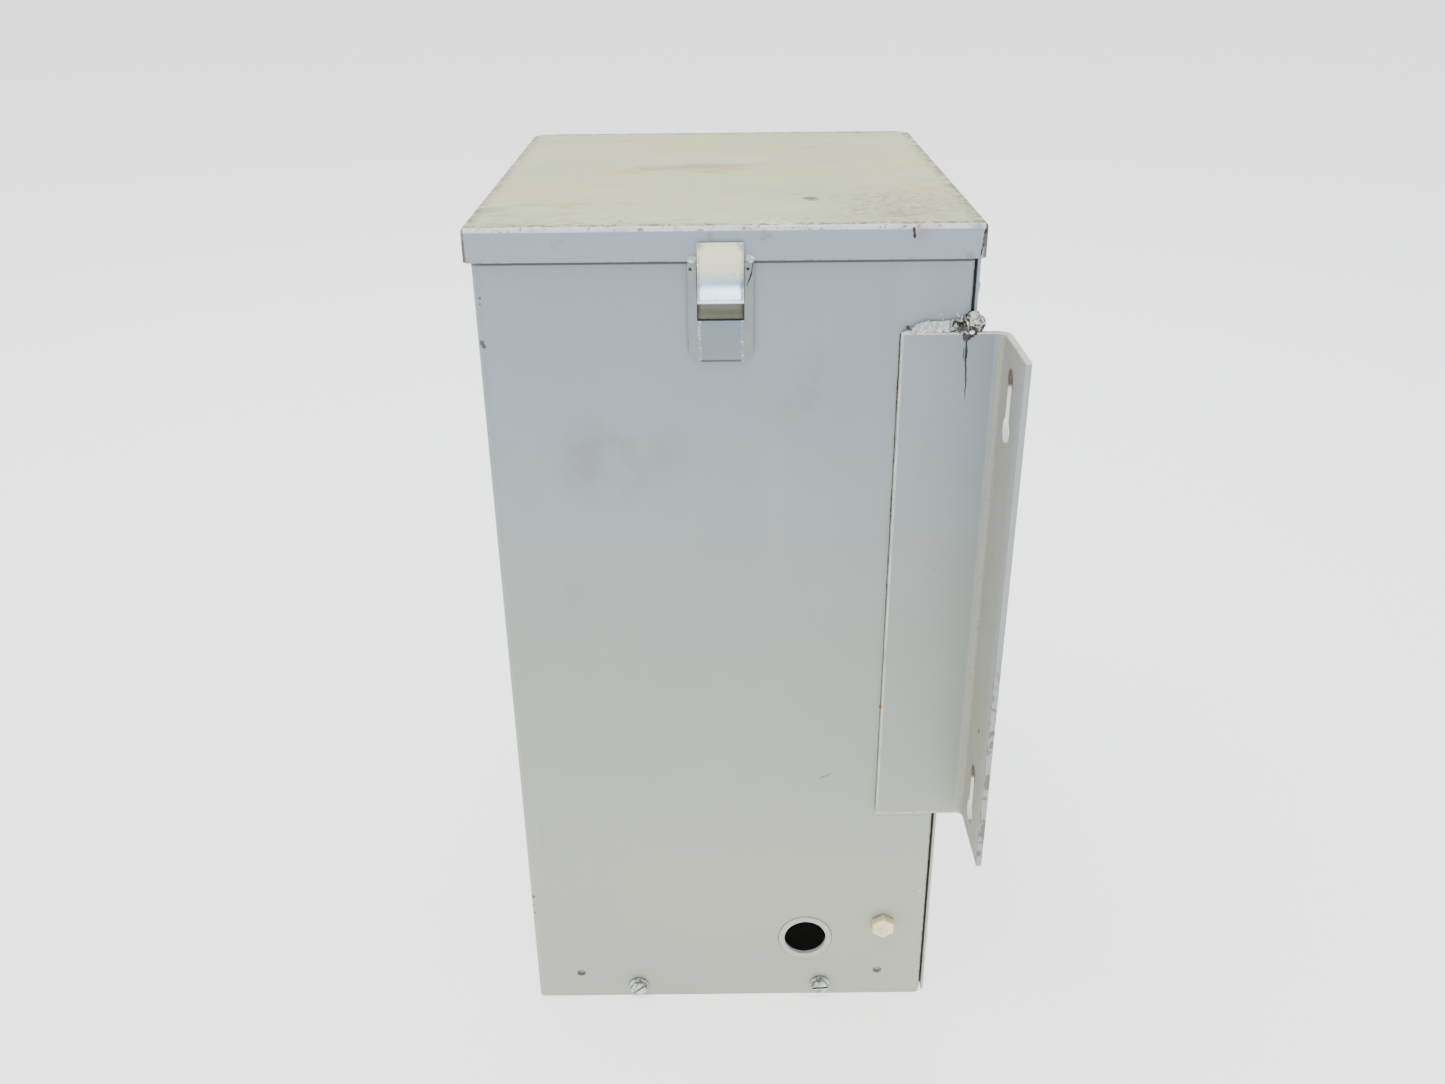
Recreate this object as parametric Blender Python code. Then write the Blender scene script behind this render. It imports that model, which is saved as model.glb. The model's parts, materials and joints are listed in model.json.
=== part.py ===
"""Wall-mounted breaker panel box with a hinged cap lid, a front door and its interior.

Metres, +Z up. The origin is the centre of the base. +X is the plain side wall with the
knockout, -Y is the door side and +Y is the wall side. Side walls stand at +X and -X.
"""
import math

import bmesh
import bpy
from mathutils import Matrix, Vector

# ---- driving dimensions -------------------------------------------------------------
DEPTH_X = 0.2413          # between the outer faces of the two side walls
WIDTH_Y = 0.208           # front face to back flange
WALL_TOP = 0.418
SHEET = 0.0015            # body sheet, 16 gauge
THIN = 0.0012             # lid, door and back plate, 18 gauge
FIT = 0.0003              # gap left between pieces that touch
BEND = 0.002              # centreline radius of a body bend
BACK_FLANGE = 0.0205

SIDE_X = DEPTH_X / 2
FRONT_Y = -WIDTH_Y / 2
BACK_Y = WIDTH_Y / 2

# lid
LID_TOP = 0.4198
LID_SKIRT = 0.0142
LID_GAP = 0.0012          # between the side walls and the lid's skirt
LID_FRONT_Y = -0.1065
LID_BACK_Y = 0.1077
LID_BEND = 0.0014
LID_CHAMFER = 0.006
LID_X = SIDE_X + LID_GAP + THIN
SKIRT_BOTTOM = LID_TOP - LID_SKIRT

# back plate and its gasket
GASKET_THICK = 0.0004
PLATE_Y = BACK_Y + 0.0010
PLATE_BACK_Y = PLATE_Y + THIN
PLATE_X = SIDE_X - 0.0012
PLATE_BOTTOM = 0.0012
PLATE_TOP = 0.4175
BACK_SCREW_X = SIDE_X - 0.0115
BACK_SCREW_ZS = (0.030, 0.390)

# mounting angles
ANGLE_SHEET = 0.0025
ANGLE_LEG_Y = 0.0747
ANGLE_FLANGE_Y = 0.1178
ANGLE_REACH = 0.0435
ANGLE_BOTTOM = 0.1245
ANGLE_TOP = 0.3745
ANGLE_RADIUS = 0.0045
KEYHOLE_X = 0.0205
KEYHOLE_CENTRES = (0.1385, 0.3370)
KEYHOLE_RISE = 0.0215
KEYHOLE_RADIUS = 0.0060
KEYHOLE_NECK = 0.0030

# lid catch
CATCH_Y = -0.0012
CATCH_WIDTH = 0.0190
TONGUE_WIDTH = 0.0270
TONGUE_BOTTOM = 0.3628
TONGUE_FOLD = 0.0048
WINDOW_WIDTH = 0.0198
WINDOW_TOP = 0.4034
WINDOW_BOTTOM = 0.3806
CATCH_PIVOT_OUT = 0.0033
CATCH_PIVOT_Z = 0.4125

# side wall fittings
KNOCKOUT_Y = 0.0407
KNOCKOUT_Z = 0.0404
KNOCKOUT_INNER = 0.0111
KNOCKOUT_OUTER = 0.0141
GROUND_Y = 0.0817
GROUND_Z = 0.0498
SMALL_HOLE_Y = 0.0803
SMALL_HOLE_Z = 0.0166
SMALL_HOLE_RADIUS = 0.0024
BASE_SCREW_Y = 0.0493
BASE_SCREW_Z = 0.0077
BASE_FLANGE = 0.0225

# door
OPENING_X = 0.080
OPENING_BOTTOM = 0.055
OPENING_TOP = 0.370
DOOR_X = 0.088
DOOR_BOTTOM = 0.046
DOOR_TOP = 0.379
DOOR_FACE_Y = FRONT_Y - 0.0048
DOOR_RIM = 0.0042
DOOR_PIVOT_X = -0.0930
LATCH_X = 0.045
LATCH_Z = 0.2125
CAM_NEAR = 0.0068         # depth of the cam's two faces behind the door's outer face
CAM_FAR = 0.0087

# hinges
LEAF = 0.0012
PIN_RADIUS = 0.0015
CURL_RADIUS = 0.0024      # centreline of a leaf's curl round its pin
HINGE_LENGTH = 0.040
HINGE_SLOT = 0.0005
LID_HINGE_YS = (-0.062, 0.052)
DOOR_HINGE_ZS = (0.105, 0.320)
LID_PIVOT_X = -(LID_X + FIT + LEAF / 2 + CURL_RADIUS)
LID_PIVOT_Z = 0.4040
DOOR_LEAF_Y = DOOR_FACE_Y - FIT - LEAF / 2
DOOR_PIVOT_Y = DOOR_LEAF_Y + CURL_RADIUS

# interior
PAN_Y = 0.0085
PAN_X = 0.085
PAN_BOTTOM = 0.070
PAN_TOP = 0.372
BASE_BLOCK_Y = 0.0002
BUS_X = 0.013
BUS_Y = -0.0034
BREAKER_BACK_Y = -0.0040
BREAKER_SHOULDER_Y = -0.0520
BREAKER_NOSE_Y = -0.0600
BREAKER_PITCH = 0.0254
BREAKER_ZS = (0.2180, 0.1926)
BREAKER_LENGTH = 0.074
MAIN_Z = 0.302
MAIN_HALF_X = 0.0255
MAIN_HALF_Z = 0.038
TUB_FACE_Y = -0.0575
TUB_X = 0.094
TUB_BOTTOM = 0.042
TUB_TOP = 0.384
TUB_LIP = 0.007
TUB_SCREW_X = 0.0975
TUB_SCREW_ZS = (0.062, 0.364)
HANDLE_LEAN = 20          # degrees either side of straight out

ARC_STEPS = 4             # chords in a quarter turn of a sheet bend
ROUND_SIDES = 24

PAINTS = {
    "panel_enamel": ((0.42, 0.45, 0.46), 0.45, 0.0),
    "lid_enamel": ((0.58, 0.60, 0.52), 0.55, 0.0),
    "zinc": ((0.62, 0.63, 0.61), 0.32, 1.0),
    "steel": ((0.55, 0.55, 0.54), 0.38, 1.0),
    "copper": ((0.72, 0.40, 0.24), 0.35, 1.0),
    "aluminium": ((0.75, 0.76, 0.77), 0.40, 1.0),
    "black_plastic": ((0.03, 0.03, 0.032), 0.45, 0.0),
    "handle_plastic": ((0.06, 0.06, 0.065), 0.40, 0.0),
    "insulator": ((0.30, 0.07, 0.04), 0.55, 0.0),
    "gasket_rubber": ((0.02, 0.02, 0.02), 0.85, 0.0),
}


# ---- scene and material helpers -----------------------------------------------------
def clear_scene():
    for item in list(bpy.data.objects):
        bpy.data.objects.remove(item, do_unlink=True)


def make_paint(name):
    colour, roughness, metallic = PAINTS[name]
    material = bpy.data.materials.new(name)
    material.use_nodes = True
    shader = material.node_tree.nodes["Principled BSDF"]
    shader.inputs["Base Color"].default_value = (*colour, 1.0)
    shader.inputs["Roughness"].default_value = roughness
    shader.inputs["Metallic"].default_value = metallic
    return material


def add_object(name, mesh_data, paint, matrix=None):
    """Turn a bmesh into a named object, placed by its matrix."""
    bmesh.ops.recalc_face_normals(mesh_data, faces=mesh_data.faces)
    mesh = bpy.data.meshes.new(name)
    mesh_data.to_mesh(mesh)
    mesh_data.free()
    part = bpy.data.objects.new(name, mesh)
    bpy.context.scene.collection.objects.link(part)
    if paint:
        if paint not in bpy.data.materials:
            make_paint(paint)
        mesh.materials.append(bpy.data.materials[paint])
    if matrix:
        part.matrix_world = matrix
    return part


def smooth(part, angle=35):
    part.data.shade_smooth()
    part.data.set_sharp_from_angle(angle=math.radians(angle))
    return part


def move_origin(part, point):
    """Put an object's origin on a joint's axis without moving its surface."""
    shift = Matrix.Translation(Vector(point))
    part.data.transform(shift.inverted() @ part.matrix_world)
    part.matrix_world = shift
    return part


def cut(part, cutters):
    """Subtract each cutter with an exact boolean."""
    for cutter in cutters:
        cutter.hide_render = True
        cutter.display_type = "WIRE"
        modifier = part.modifiers.new(cutter.name, "BOOLEAN")
        modifier.operation = "DIFFERENCE"
        modifier.solver = "EXACT"
        modifier.object = cutter
    return part


def soften(part, width, segments=2, angle=40):
    modifier = part.modifiers.new("soft_edges", "BEVEL")
    modifier.width = width
    modifier.segments = segments
    modifier.limit_method = "ANGLE"
    modifier.angle_limit = math.radians(angle)
    return part


# ---- placing frames: columns are where local X, Y and Z point ------------------------
def frame_matrix(x_axis, y_axis, origin):
    x_vector = Vector(x_axis)
    y_vector = Vector(y_axis)
    z_vector = x_vector.cross(y_vector)
    matrix = Matrix((x_vector, y_vector, z_vector)).transposed().to_4x4()
    return Matrix.Translation(Vector(origin)) @ matrix


def along_z(z):
    return Matrix.Translation((0, 0, z))


def out_of_side(y, z, x=SIDE_X):
    """Local Z points out of the +X side wall."""
    return frame_matrix((0, 1, 0), (0, 0, 1), (x, y, z))


def out_of_far_side(y, z):
    """Local Z points out of the -X side wall."""
    return frame_matrix((0, -1, 0), (0, 0, 1), (-SIDE_X, y, z))


def out_of_front(x, z, y):
    """Local Z points towards -Y."""
    return frame_matrix((1, 0, 0), (0, 0, 1), (x, y, z))


def out_of_back(x, z, y):
    """Local Z points towards +Y."""
    return frame_matrix((-1, 0, 0), (0, 0, 1), (x, y, z))


# ---- outlines -----------------------------------------------------------------------
def arc(centre, radius, start, end, steps):
    """Points on an arc, angles in degrees."""
    points = []
    for index in range(steps + 1):
        angle = math.radians(start + (end - start) * index / steps)
        points.append(Vector(centre) + radius * Vector((math.cos(angle), math.sin(angle))))
    return points


def rounded_path(corners, radius, steps=ARC_STEPS):
    """A polyline whose inner corners are rounded to one radius."""
    corners = [Vector(corner) for corner in corners]
    points = [corners[0]]
    for before, corner, after in zip(corners, corners[1:], corners[2:]):
        back = (before - corner).normalized()
        ahead = (after - corner).normalized()
        half_angle = back.angle(ahead) / 2
        reach = radius / math.tan(half_angle)
        centre = corner + (back + ahead).normalized() * radius / math.sin(half_angle)
        first = corner + back * reach - centre
        turn = first.angle_signed(corner + ahead * reach - centre)
        for index in range(steps + 1):
            spin = Matrix.Rotation(-turn * index / steps, 2)
            points.append(centre + spin @ first)
    points.append(corners[-1])
    return points


def strip_outline(path, thickness):
    """The closed outline of a sheet of one thickness that follows a centreline."""
    left = []
    right = []
    for index, point in enumerate(path):
        before = path[max(index - 1, 0)]
        after = path[min(index + 1, len(path) - 1)]
        into = (point - before).normalized() if index else (after - point).normalized()
        out = (after - point).normalized() if index < len(path) - 1 else into
        along = (into + out).normalized()
        normal = Vector((-along.y, along.x))
        mitre = thickness / 2 / max(normal.dot(Vector((-out.y, out.x))), 0.5)
        left.append(point + normal * mitre)
        right.append(point - normal * mitre)
    return left + right[::-1]


def circle(radius, sides=ROUND_SIDES, centre=(0, 0)):
    return arc(centre, radius, 0, 360 - 360 / sides, sides - 1)


def rectangle(half_x, half_y, centre=(0, 0)):
    x, y = centre
    return [
        (x - half_x, y - half_y),
        (x + half_x, y - half_y),
        (x + half_x, y + half_y),
        (x - half_x, y + half_y),
    ]


# ---- solid builders -----------------------------------------------------------------
def prism(name, outline, low, high, paint, matrix=None):
    """Extrude a closed outline along local Z."""
    mesh = bmesh.new()
    bottom = [mesh.verts.new((point[0], point[1], low)) for point in outline]
    top = [mesh.verts.new((point[0], point[1], high)) for point in outline]
    mesh.faces.new(bottom)
    mesh.faces.new(top)
    count = len(outline)
    for index in range(count):
        after = (index + 1) % count
        mesh.faces.new((bottom[index], bottom[after], top[after], top[index]))
    return add_object(name, mesh, paint, matrix)


def box(name, low, high, paint):
    outline = [(low[0], low[1]), (high[0], low[1]), (high[0], high[1]), (low[0], high[1])]
    return prism(name, outline, low[2], high[2], paint)


def ring_points(kind, radius, height, sides):
    """One cross-section of a turned or hexagonal piece; radius is half across flats."""
    points = []
    for index in range(sides):
        angle = 2 * math.pi * index / sides
        reach = radius
        if kind == "hex":
            sector = math.radians((math.degrees(angle) % 60) - 30)
            reach = radius / math.cos(sector)
        points.append((reach * math.cos(angle), reach * math.sin(angle), height))
    return points


def lofted(name, sections, paint, matrix, sides=ROUND_SIDES):
    """Join sections of (kind, radius, height) into one closed solid."""
    mesh = bmesh.new()
    rings = []
    for kind, radius, height in sections:
        ring = [mesh.verts.new(point) for point in ring_points(kind, radius, height, sides)]
        rings.append(ring)
    mesh.faces.new(rings[0])
    mesh.faces.new(rings[-1])
    for lower, upper in zip(rings, rings[1:]):
        for index in range(sides):
            after = (index + 1) % sides
            mesh.faces.new((lower[index], lower[after], upper[after], upper[index]))
    return smooth(add_object(name, mesh, paint, matrix))


def folded_panel(name, corners, folds, thickness, paint, matrix):
    """A flat panel in local XY whose edges are folded down through given steps.

    folds maps an edge's index to (outward, down) steps from that edge. Neighbouring
    folds meet only at the panel's corner, so the corners stay open seams.
    """
    mesh = bmesh.new()
    base = [mesh.verts.new((x, y, 0)) for x, y in corners]
    mesh.faces.new(base)
    count = len(corners)
    for edge, steps in folds.items():
        start = base[edge]
        end = base[(edge + 1) % count]
        along = (end.co - start.co).normalized()
        outward = Vector((along.y, -along.x, 0))
        last = (start, end)
        for reach, drop in steps:
            shift = outward * reach - Vector((0, 0, drop))
            fresh = (mesh.verts.new(start.co + shift), mesh.verts.new(end.co + shift))
            mesh.faces.new((last[1], last[0], fresh[0], fresh[1]))
            last = fresh
    bmesh.ops.recalc_face_normals(mesh, faces=mesh.faces)
    panel = add_object(name, mesh, paint, matrix)
    if panel.data.polygons[0].normal.z < 0:
        panel.data.flip_normals()
    thicken = panel.modifiers.new("sheet", "SOLIDIFY")
    thicken.thickness = thickness
    thicken.offset = -1
    thicken.use_even_offset = True
    return panel


def fold_steps(radius, depth, steps=ARC_STEPS):
    """A quarter bend and the straight flange after it."""
    points = []
    for index in range(1, steps + 1):
        angle = math.pi / 2 * index / steps
        points.append((radius * math.sin(angle), radius * (1 - math.cos(angle))))
    points.append((radius, depth))
    return points


# ---- body ---------------------------------------------------------------------------
def hole_cutter(name, radius, matrix, reach=0.004, sides=ROUND_SIDES):
    return prism(name, circle(radius, sides), -reach, reach, None, matrix)


def make_body_shell():
    inset = SHEET / 2
    side = SIDE_X - inset
    front = FRONT_Y + inset
    back = BACK_Y - inset
    flange = SIDE_X - BACK_FLANGE
    corners = [(-flange, back), (-side, back), (-side, front)]
    corners += [(side, front), (side, back), (flange, back)]
    outline = strip_outline(rounded_path(corners, BEND), SHEET)
    shell = prism("body_shell", outline, 0, WALL_TOP, "panel_enamel")
    cutters = [
        hole_cutter("cut_knockout", KNOCKOUT_OUTER + FIT, out_of_side(KNOCKOUT_Y, KNOCKOUT_Z), sides=32),
        hole_cutter("cut_ground", 0.0036, out_of_side(GROUND_Y, GROUND_Z)),
    ]
    opening_low = (-OPENING_X, FRONT_Y - 0.003, OPENING_BOTTOM)
    opening_high = (OPENING_X, FRONT_Y + 0.004, OPENING_TOP)
    cutters.append(box("cut_opening", opening_low, opening_high, None))
    for index, sign in enumerate((-1, 1)):
        cutters.append(hole_cutter(f"cut_small_{index}", SMALL_HOLE_RADIUS,
                                   out_of_side(sign * SMALL_HOLE_Y, SMALL_HOLE_Z), sides=16))
        for place, side_frame in (("near", out_of_side), ("far", out_of_far_side)):
            cutters.append(hole_cutter(f"cut_base_{place}_{index}", 0.0027,
                                       side_frame(sign * BASE_SCREW_Y, BASE_SCREW_Z), sides=16))
        for z in BACK_SCREW_ZS:
            cutters.append(hole_cutter(f"cut_back_{index}_{round(z * 1000)}", 0.0024,
                                       out_of_back(sign * BACK_SCREW_X, z, BACK_Y), sides=16))
        for z in TUB_SCREW_ZS:
            cutters.append(hole_cutter(f"cut_front_{index}_{round(z * 1000)}", 0.0021,
                                       out_of_front(sign * TUB_SCREW_X, z, FRONT_Y), sides=16))
    return smooth(cut(shell, cutters))


def make_back_plate():
    plate = box("back_plate", (-PLATE_X, PLATE_Y, PLATE_BOTTOM),
                (PLATE_X, PLATE_BACK_Y, PLATE_TOP), "panel_enamel")
    cutters = []
    for sign in (-1, 1):
        for z in BACK_SCREW_ZS:
            tag = f"cut_plate_{'l' if sign < 0 else 'r'}_{round(z * 1000)}"
            cutters.append(hole_cutter(tag, 0.0024, out_of_back(sign * BACK_SCREW_X, z, PLATE_Y), sides=16))
    return cut(plate, cutters)


def make_back_gasket():
    """A flat ring of foam between the back flanges and the plate, recessed at its edges."""
    outer_x = SIDE_X - 0.0035
    low = BACK_Y + FIT
    gasket = box("back_gasket", (-outer_x, low, 0.004), (outer_x, low + GASKET_THICK, 0.4145),
                 "gasket_rubber")
    inner_x = SIDE_X - BACK_FLANGE + 0.003
    window = box("cut_gasket_window", (-inner_x, low - 0.002, 0.012), (inner_x, low + 0.003, 0.4065), None)
    cutters = [window]
    for sign in (-1, 1):
        for z in BACK_SCREW_ZS:
            tag = f"cut_gasket_{'l' if sign < 0 else 'r'}_{round(z * 1000)}"
            cutters.append(hole_cutter(tag, 0.0026, out_of_back(sign * BACK_SCREW_X, z, low), sides=16))
    return cut(gasket, cutters)


def make_back_screws():
    sections = [
        ("round", 0.0030, 0.0022),
        ("round", 0.0038, 0.0014),
        ("round", 0.0040, FIT),
        ("round", 0.0019, FIT),
        ("round", 0.0019, -0.0090),
        ("round", 0.0012, -0.0100),
    ]
    names = iter(range(1, 5))
    for z in BACK_SCREW_ZS:
        for sign in (-1, 1):
            place = out_of_back(sign * BACK_SCREW_X, z, PLATE_BACK_Y)
            lofted(f"back_screw_{next(names)}", sections, "zinc", place, sides=16)


def make_dead_front_screws():
    sections = [
        ("round", 0.0024, 0.0021),
        ("round", 0.0034, 0.0015),
        ("round", 0.0037, FIT),
        ("round", 0.0017, FIT),
        ("round", 0.0017, -0.0070),
        ("round", 0.0011, -0.0080),
    ]
    names = iter(range(1, 5))
    for z in TUB_SCREW_ZS:
        for sign in (-1, 1):
            place = out_of_front(sign * TUB_SCREW_X, z, FRONT_Y)
            lofted(f"dead_front_screw_{next(names)}", sections, "zinc", place, sides=16)


def make_bottom_plate():
    """A tray whose flanges stand up inside the walls, for the base screws."""
    gap = SHEET + FIT
    half_x = SIDE_X - gap
    half_y = WIDTH_Y / 2 - gap
    bend = 0.002
    flat_x = half_x - bend
    flat_y = half_y - bend
    corners = [(-flat_x, -flat_y), (flat_x, -flat_y), (flat_x, flat_y), (-flat_x, flat_y)]
    tall = fold_steps(bend, BASE_FLANGE)
    short = fold_steps(bend, 0.012)
    folds = {0: short, 1: tall, 2: short, 3: tall}
    upside_down = frame_matrix((1, 0, 0), (0, -1, 0), (0, 0, 0))
    tray = folded_panel("bottom_plate", corners, folds, SHEET, "panel_enamel", upside_down)
    cutters = []
    for sign in (-1, 1):
        for tag, side_frame in (("near", out_of_side), ("far", out_of_far_side)):
            place = side_frame(sign * BASE_SCREW_Y, BASE_SCREW_Z) @ along_z(-gap)
            name = f"cut_tray_{tag}_{'l' if sign < 0 else 'r'}"
            cutters.append(hole_cutter(name, 0.0027, place, sides=16))
    return smooth(cut(tray, cutters))


def make_base_screws():
    """Slotted hexagon washer-head screws through the side walls into the bottom plate."""
    sections = [
        ("hex", 0.00385, 0.0040),
        ("hex", 0.00395, 0.0036),
        ("hex", 0.00395, 0.0012),
        ("round", 0.0048, 0.0011),
        ("round", 0.0053, 0.0007),
        ("round", 0.0053, FIT),
        ("round", 0.0023, FIT),
        ("round", 0.0023, -0.0090),
        ("round", 0.0015, -0.0100),
    ]
    slot_angles = {"near_1": 40, "near_2": 4, "far_1": 75, "far_2": 120}
    for tag, side_frame in (("near", out_of_side), ("far", out_of_far_side)):
        for index, sign in enumerate((-1, 1)):
            key = f"{tag}_{index + 1}"
            place = side_frame(sign * BASE_SCREW_Y, BASE_SCREW_Z)
            screw = lofted(f"base_screw_{key}", sections, "zinc", place)
            spin = Matrix.Rotation(math.radians(slot_angles[key]), 4, "Z")
            slot = prism(f"cut_slot_{key}", rectangle(0.006, 0.0006), 0.0026, 0.006, None, place @ spin)
            smooth(cut(screw, [slot]))


def keyhole_outline(centre_x, centre_y):
    """A round hole with a narrower neck above it, ending in a half circle."""
    half_angle = math.degrees(math.asin(KEYHOLE_NECK / KEYHOLE_RADIUS))
    bowl = arc((centre_x, centre_y), KEYHOLE_RADIUS, 90 + half_angle, 450 - half_angle, 16)
    neck = arc((centre_x, centre_y + KEYHOLE_RISE), KEYHOLE_NECK, 0, 180, 6)
    return bowl + neck


def make_mounting_angle(name, sign):
    """A bent angle on a side wall: one leg on the wall, one out past it with keyholes."""
    leg_x = SIDE_X + FIT + ANGLE_SHEET / 2
    flange_y = ANGLE_FLANGE_Y + ANGLE_SHEET / 2
    corners = [
        (sign * leg_x, ANGLE_LEG_Y),
        (sign * leg_x, flange_y),
        (sign * (SIDE_X + ANGLE_REACH), flange_y),
    ]
    outline = strip_outline(rounded_path(corners, ANGLE_RADIUS, 6), ANGLE_SHEET)
    angle = prism(name, outline, ANGLE_BOTTOM, ANGLE_TOP, "panel_enamel")
    cutters = []
    for index, z in enumerate(KEYHOLE_CENTRES):
        place = out_of_back(0, 0, flange_y)
        outline = keyhole_outline(-sign * (SIDE_X + KEYHOLE_X), z)
        cutters.append(prism(f"cut_{name}_{index}", outline, -0.004, 0.004, None, place))
    return smooth(cut(angle, cutters))


def make_side_fittings():
    ring_place = out_of_side(KNOCKOUT_Y, KNOCKOUT_Z)
    ring = lofted("knockout_ring", [
        ("round", KNOCKOUT_OUTER - 0.0003, 0.0006),
        ("round", KNOCKOUT_OUTER, 0.0003),
        ("round", KNOCKOUT_OUTER, -SHEET),
    ], "panel_enamel", ring_place, sides=32)
    hole = hole_cutter("cut_ring", KNOCKOUT_INNER, ring_place, sides=32)
    smooth(cut(ring, [hole]))
    bolt_place = out_of_side(GROUND_Y, GROUND_Z)
    quarter = Matrix.Rotation(math.radians(30), 4, "Z")
    lofted("ground_bolt", [
        ("hex", 0.0050, 0.0047),
        ("hex", 0.00555, 0.0041),
        ("hex", 0.00555, FIT),
        ("round", 0.0031, FIT),
        ("round", 0.0031, -0.0190),
        ("round", 0.0025, -0.0200),
    ], "zinc", bolt_place @ quarter)
    nut = lofted("ground_nut", [
        ("hex", 0.0055, -0.0102),
        ("hex", 0.0055, -0.0048),
    ], "zinc", bolt_place @ quarter)
    cut(nut, [hole_cutter("cut_nut", 0.0034, bolt_place, reach=0.02)])
    lug_corners = [(-0.0025, -0.010), (-0.0025, 0.006), (-0.011, 0.020), (-0.011, 0.034)]
    outline = strip_outline(rounded_path(lug_corners, 0.003), 0.002)
    lug_place = frame_matrix((1, 0, 0), (0, 0, 1), (SIDE_X - 0.0006, GROUND_Y, GROUND_Z))
    lug = prism("ground_lug", outline, -0.006, 0.006, "copper", lug_place)
    cut(lug, [hole_cutter("cut_lug", 0.0034, bolt_place, reach=0.02)])


# ---- lid ----------------------------------------------------------------------------
def make_lid():
    x_flat = LID_X - LID_BEND
    front = LID_FRONT_Y + LID_BEND
    back = LID_BACK_Y - LID_BEND
    corners = [
        (x_flat, front),
        (x_flat, back),
        (-x_flat + LID_CHAMFER, back),
        (-x_flat, back - LID_CHAMFER),
        (-x_flat, front + LID_CHAMFER),
        (-x_flat + LID_CHAMFER, front),
    ]
    skirt = fold_steps(LID_BEND, LID_SKIRT)
    folds = {0: skirt, 1: skirt, 3: skirt, 5: skirt}
    lid = folded_panel("lid", corners, folds, THIN, "lid_enamel", along_z(LID_TOP))
    return move_origin(smooth(lid), (LID_PIVOT_X, 0, LID_PIVOT_Z))


def make_catch_tongue():
    """A channel that hangs from the lid's skirt over the side wall, with a window in it."""
    half = TONGUE_WIDTH / 2
    shoulder = half - TONGUE_FOLD
    face_x = SIDE_X + LID_GAP + THIN / 2
    back_x = SIDE_X + FIT + 0.0008
    corners = [
        (back_x, CATCH_Y - half),
        (face_x, CATCH_Y - shoulder),
        (face_x, CATCH_Y + shoulder),
        (back_x, CATCH_Y + half),
    ]
    outline = strip_outline(rounded_path(corners, 0.0025, 3), THIN)
    tongue = prism("catch_tongue", outline, TONGUE_BOTTOM, SKIRT_BOTTOM - FIT, "panel_enamel")
    window = box("cut_window", (SIDE_X - 0.001, CATCH_Y - WINDOW_WIDTH / 2, WINDOW_BOTTOM),
                 (SIDE_X + 0.006, CATCH_Y + WINDOW_WIDTH / 2, WINDOW_TOP), None)
    cutters = [window]
    for sign in (-1, 1):
        notch = [
            (0.0092, 0),
            (0.0092, -0.003),
            (half + 0.001, -0.003),
            (half + 0.001, 0.0040),
            (0.0111, 0.0016),
        ]
        outline = [(sign * u, v) for u, v in notch]
        place = out_of_side(CATCH_Y, TONGUE_BOTTOM)
        cutters.append(prism(f"cut_tongue_{sign}", outline, -0.002, 0.006, None, place))
    cut(tongue, cutters)
    return move_origin(smooth(tongue), (LID_PIVOT_X, 0, LID_PIVOT_Z))


def make_catch_clip():
    """A bent spring strip: flat at its root, flared for a finger, with an inner leg."""
    out = CATCH_PIVOT_OUT
    outer_path = [(out, 0.4134), (out + 0.0008, 0.4020), (out + 0.0042, 0.3955), (0.0125, 0.3908)]
    path = rounded_path(outer_path, 0.012, 6)
    outer = strip_outline(path, 0.0010)
    place = frame_matrix((1, 0, 0), (0, 0, 1), (SIDE_X, CATCH_Y, 0))
    half = CATCH_WIDTH / 2
    clip = prism("catch_clip", outer, -half, half, "zinc", place)
    inner_path = [(out + 0.0004, 0.4040), (0.0014, 0.3960), (0.0011, 0.3850), (0.0024, 0.3815)]
    inner_outline = strip_outline(rounded_path(inner_path, 0.004), 0.0009)
    leg = prism("leg_of_clip", inner_outline, -half + 0.0002, half - 0.0002, None, place)
    join = clip.modifiers.new("leg", "BOOLEAN")
    join.operation = "UNION"
    join.solver = "EXACT"
    join.object = leg
    leg.hide_render = True
    leg.display_type = "WIRE"
    return move_origin(smooth(clip), (SIDE_X + out, CATCH_Y, CATCH_PIVOT_Z))


# ---- hinges -------------------------------------------------------------------------
def curl_path(plate_points, centre, start, end):
    """A leaf's centreline: straight points, then a curl round the pin."""
    return [Vector(point) for point in plate_points] + arc(centre, CURL_RADIUS, start, end, 12)


def make_leaf(name, path, matrix, knuckles, centre):
    """A hinge leaf whose curl is cut away where the other leaf's knuckles sit."""
    outline = strip_outline(path, LEAF)
    half = HINGE_LENGTH / 2
    leaf = prism(name, outline, -half, half, "steel", matrix)
    reach = CURL_RADIUS + LEAF
    cutters = []
    for index, (low, high) in enumerate(knuckles):
        clear = rectangle(reach, reach, centre)
        cutters.append(prism(f"cut_{name}_{index}", clear, low, high, None, matrix))
    return cut(leaf, cutters)


def make_pin(name, centre, matrix):
    half = HINGE_LENGTH / 2
    pin = lofted(name, [
        ("round", 0.0022, half + 0.0016),
        ("round", 0.0026, half + 0.0010),
        ("round", 0.0026, half + FIT),
        ("round", PIN_RADIUS, half + FIT),
        ("round", PIN_RADIUS, -half - 0.0012),
    ], "steel", matrix @ Matrix.Translation((*centre, 0)), sides=16)
    return pin


def knuckle_cuts():
    """Spans along the pin: the middle third, and the two outer thirds."""
    half = HINGE_LENGTH / 2
    third = HINGE_LENGTH / 6
    middle = [(-third - HINGE_SLOT, third + HINGE_SLOT)]
    outer = [(-half - 0.001, -third + HINGE_SLOT / 2), (third - HINGE_SLOT / 2, half + 0.001)]
    return middle, outer


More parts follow.
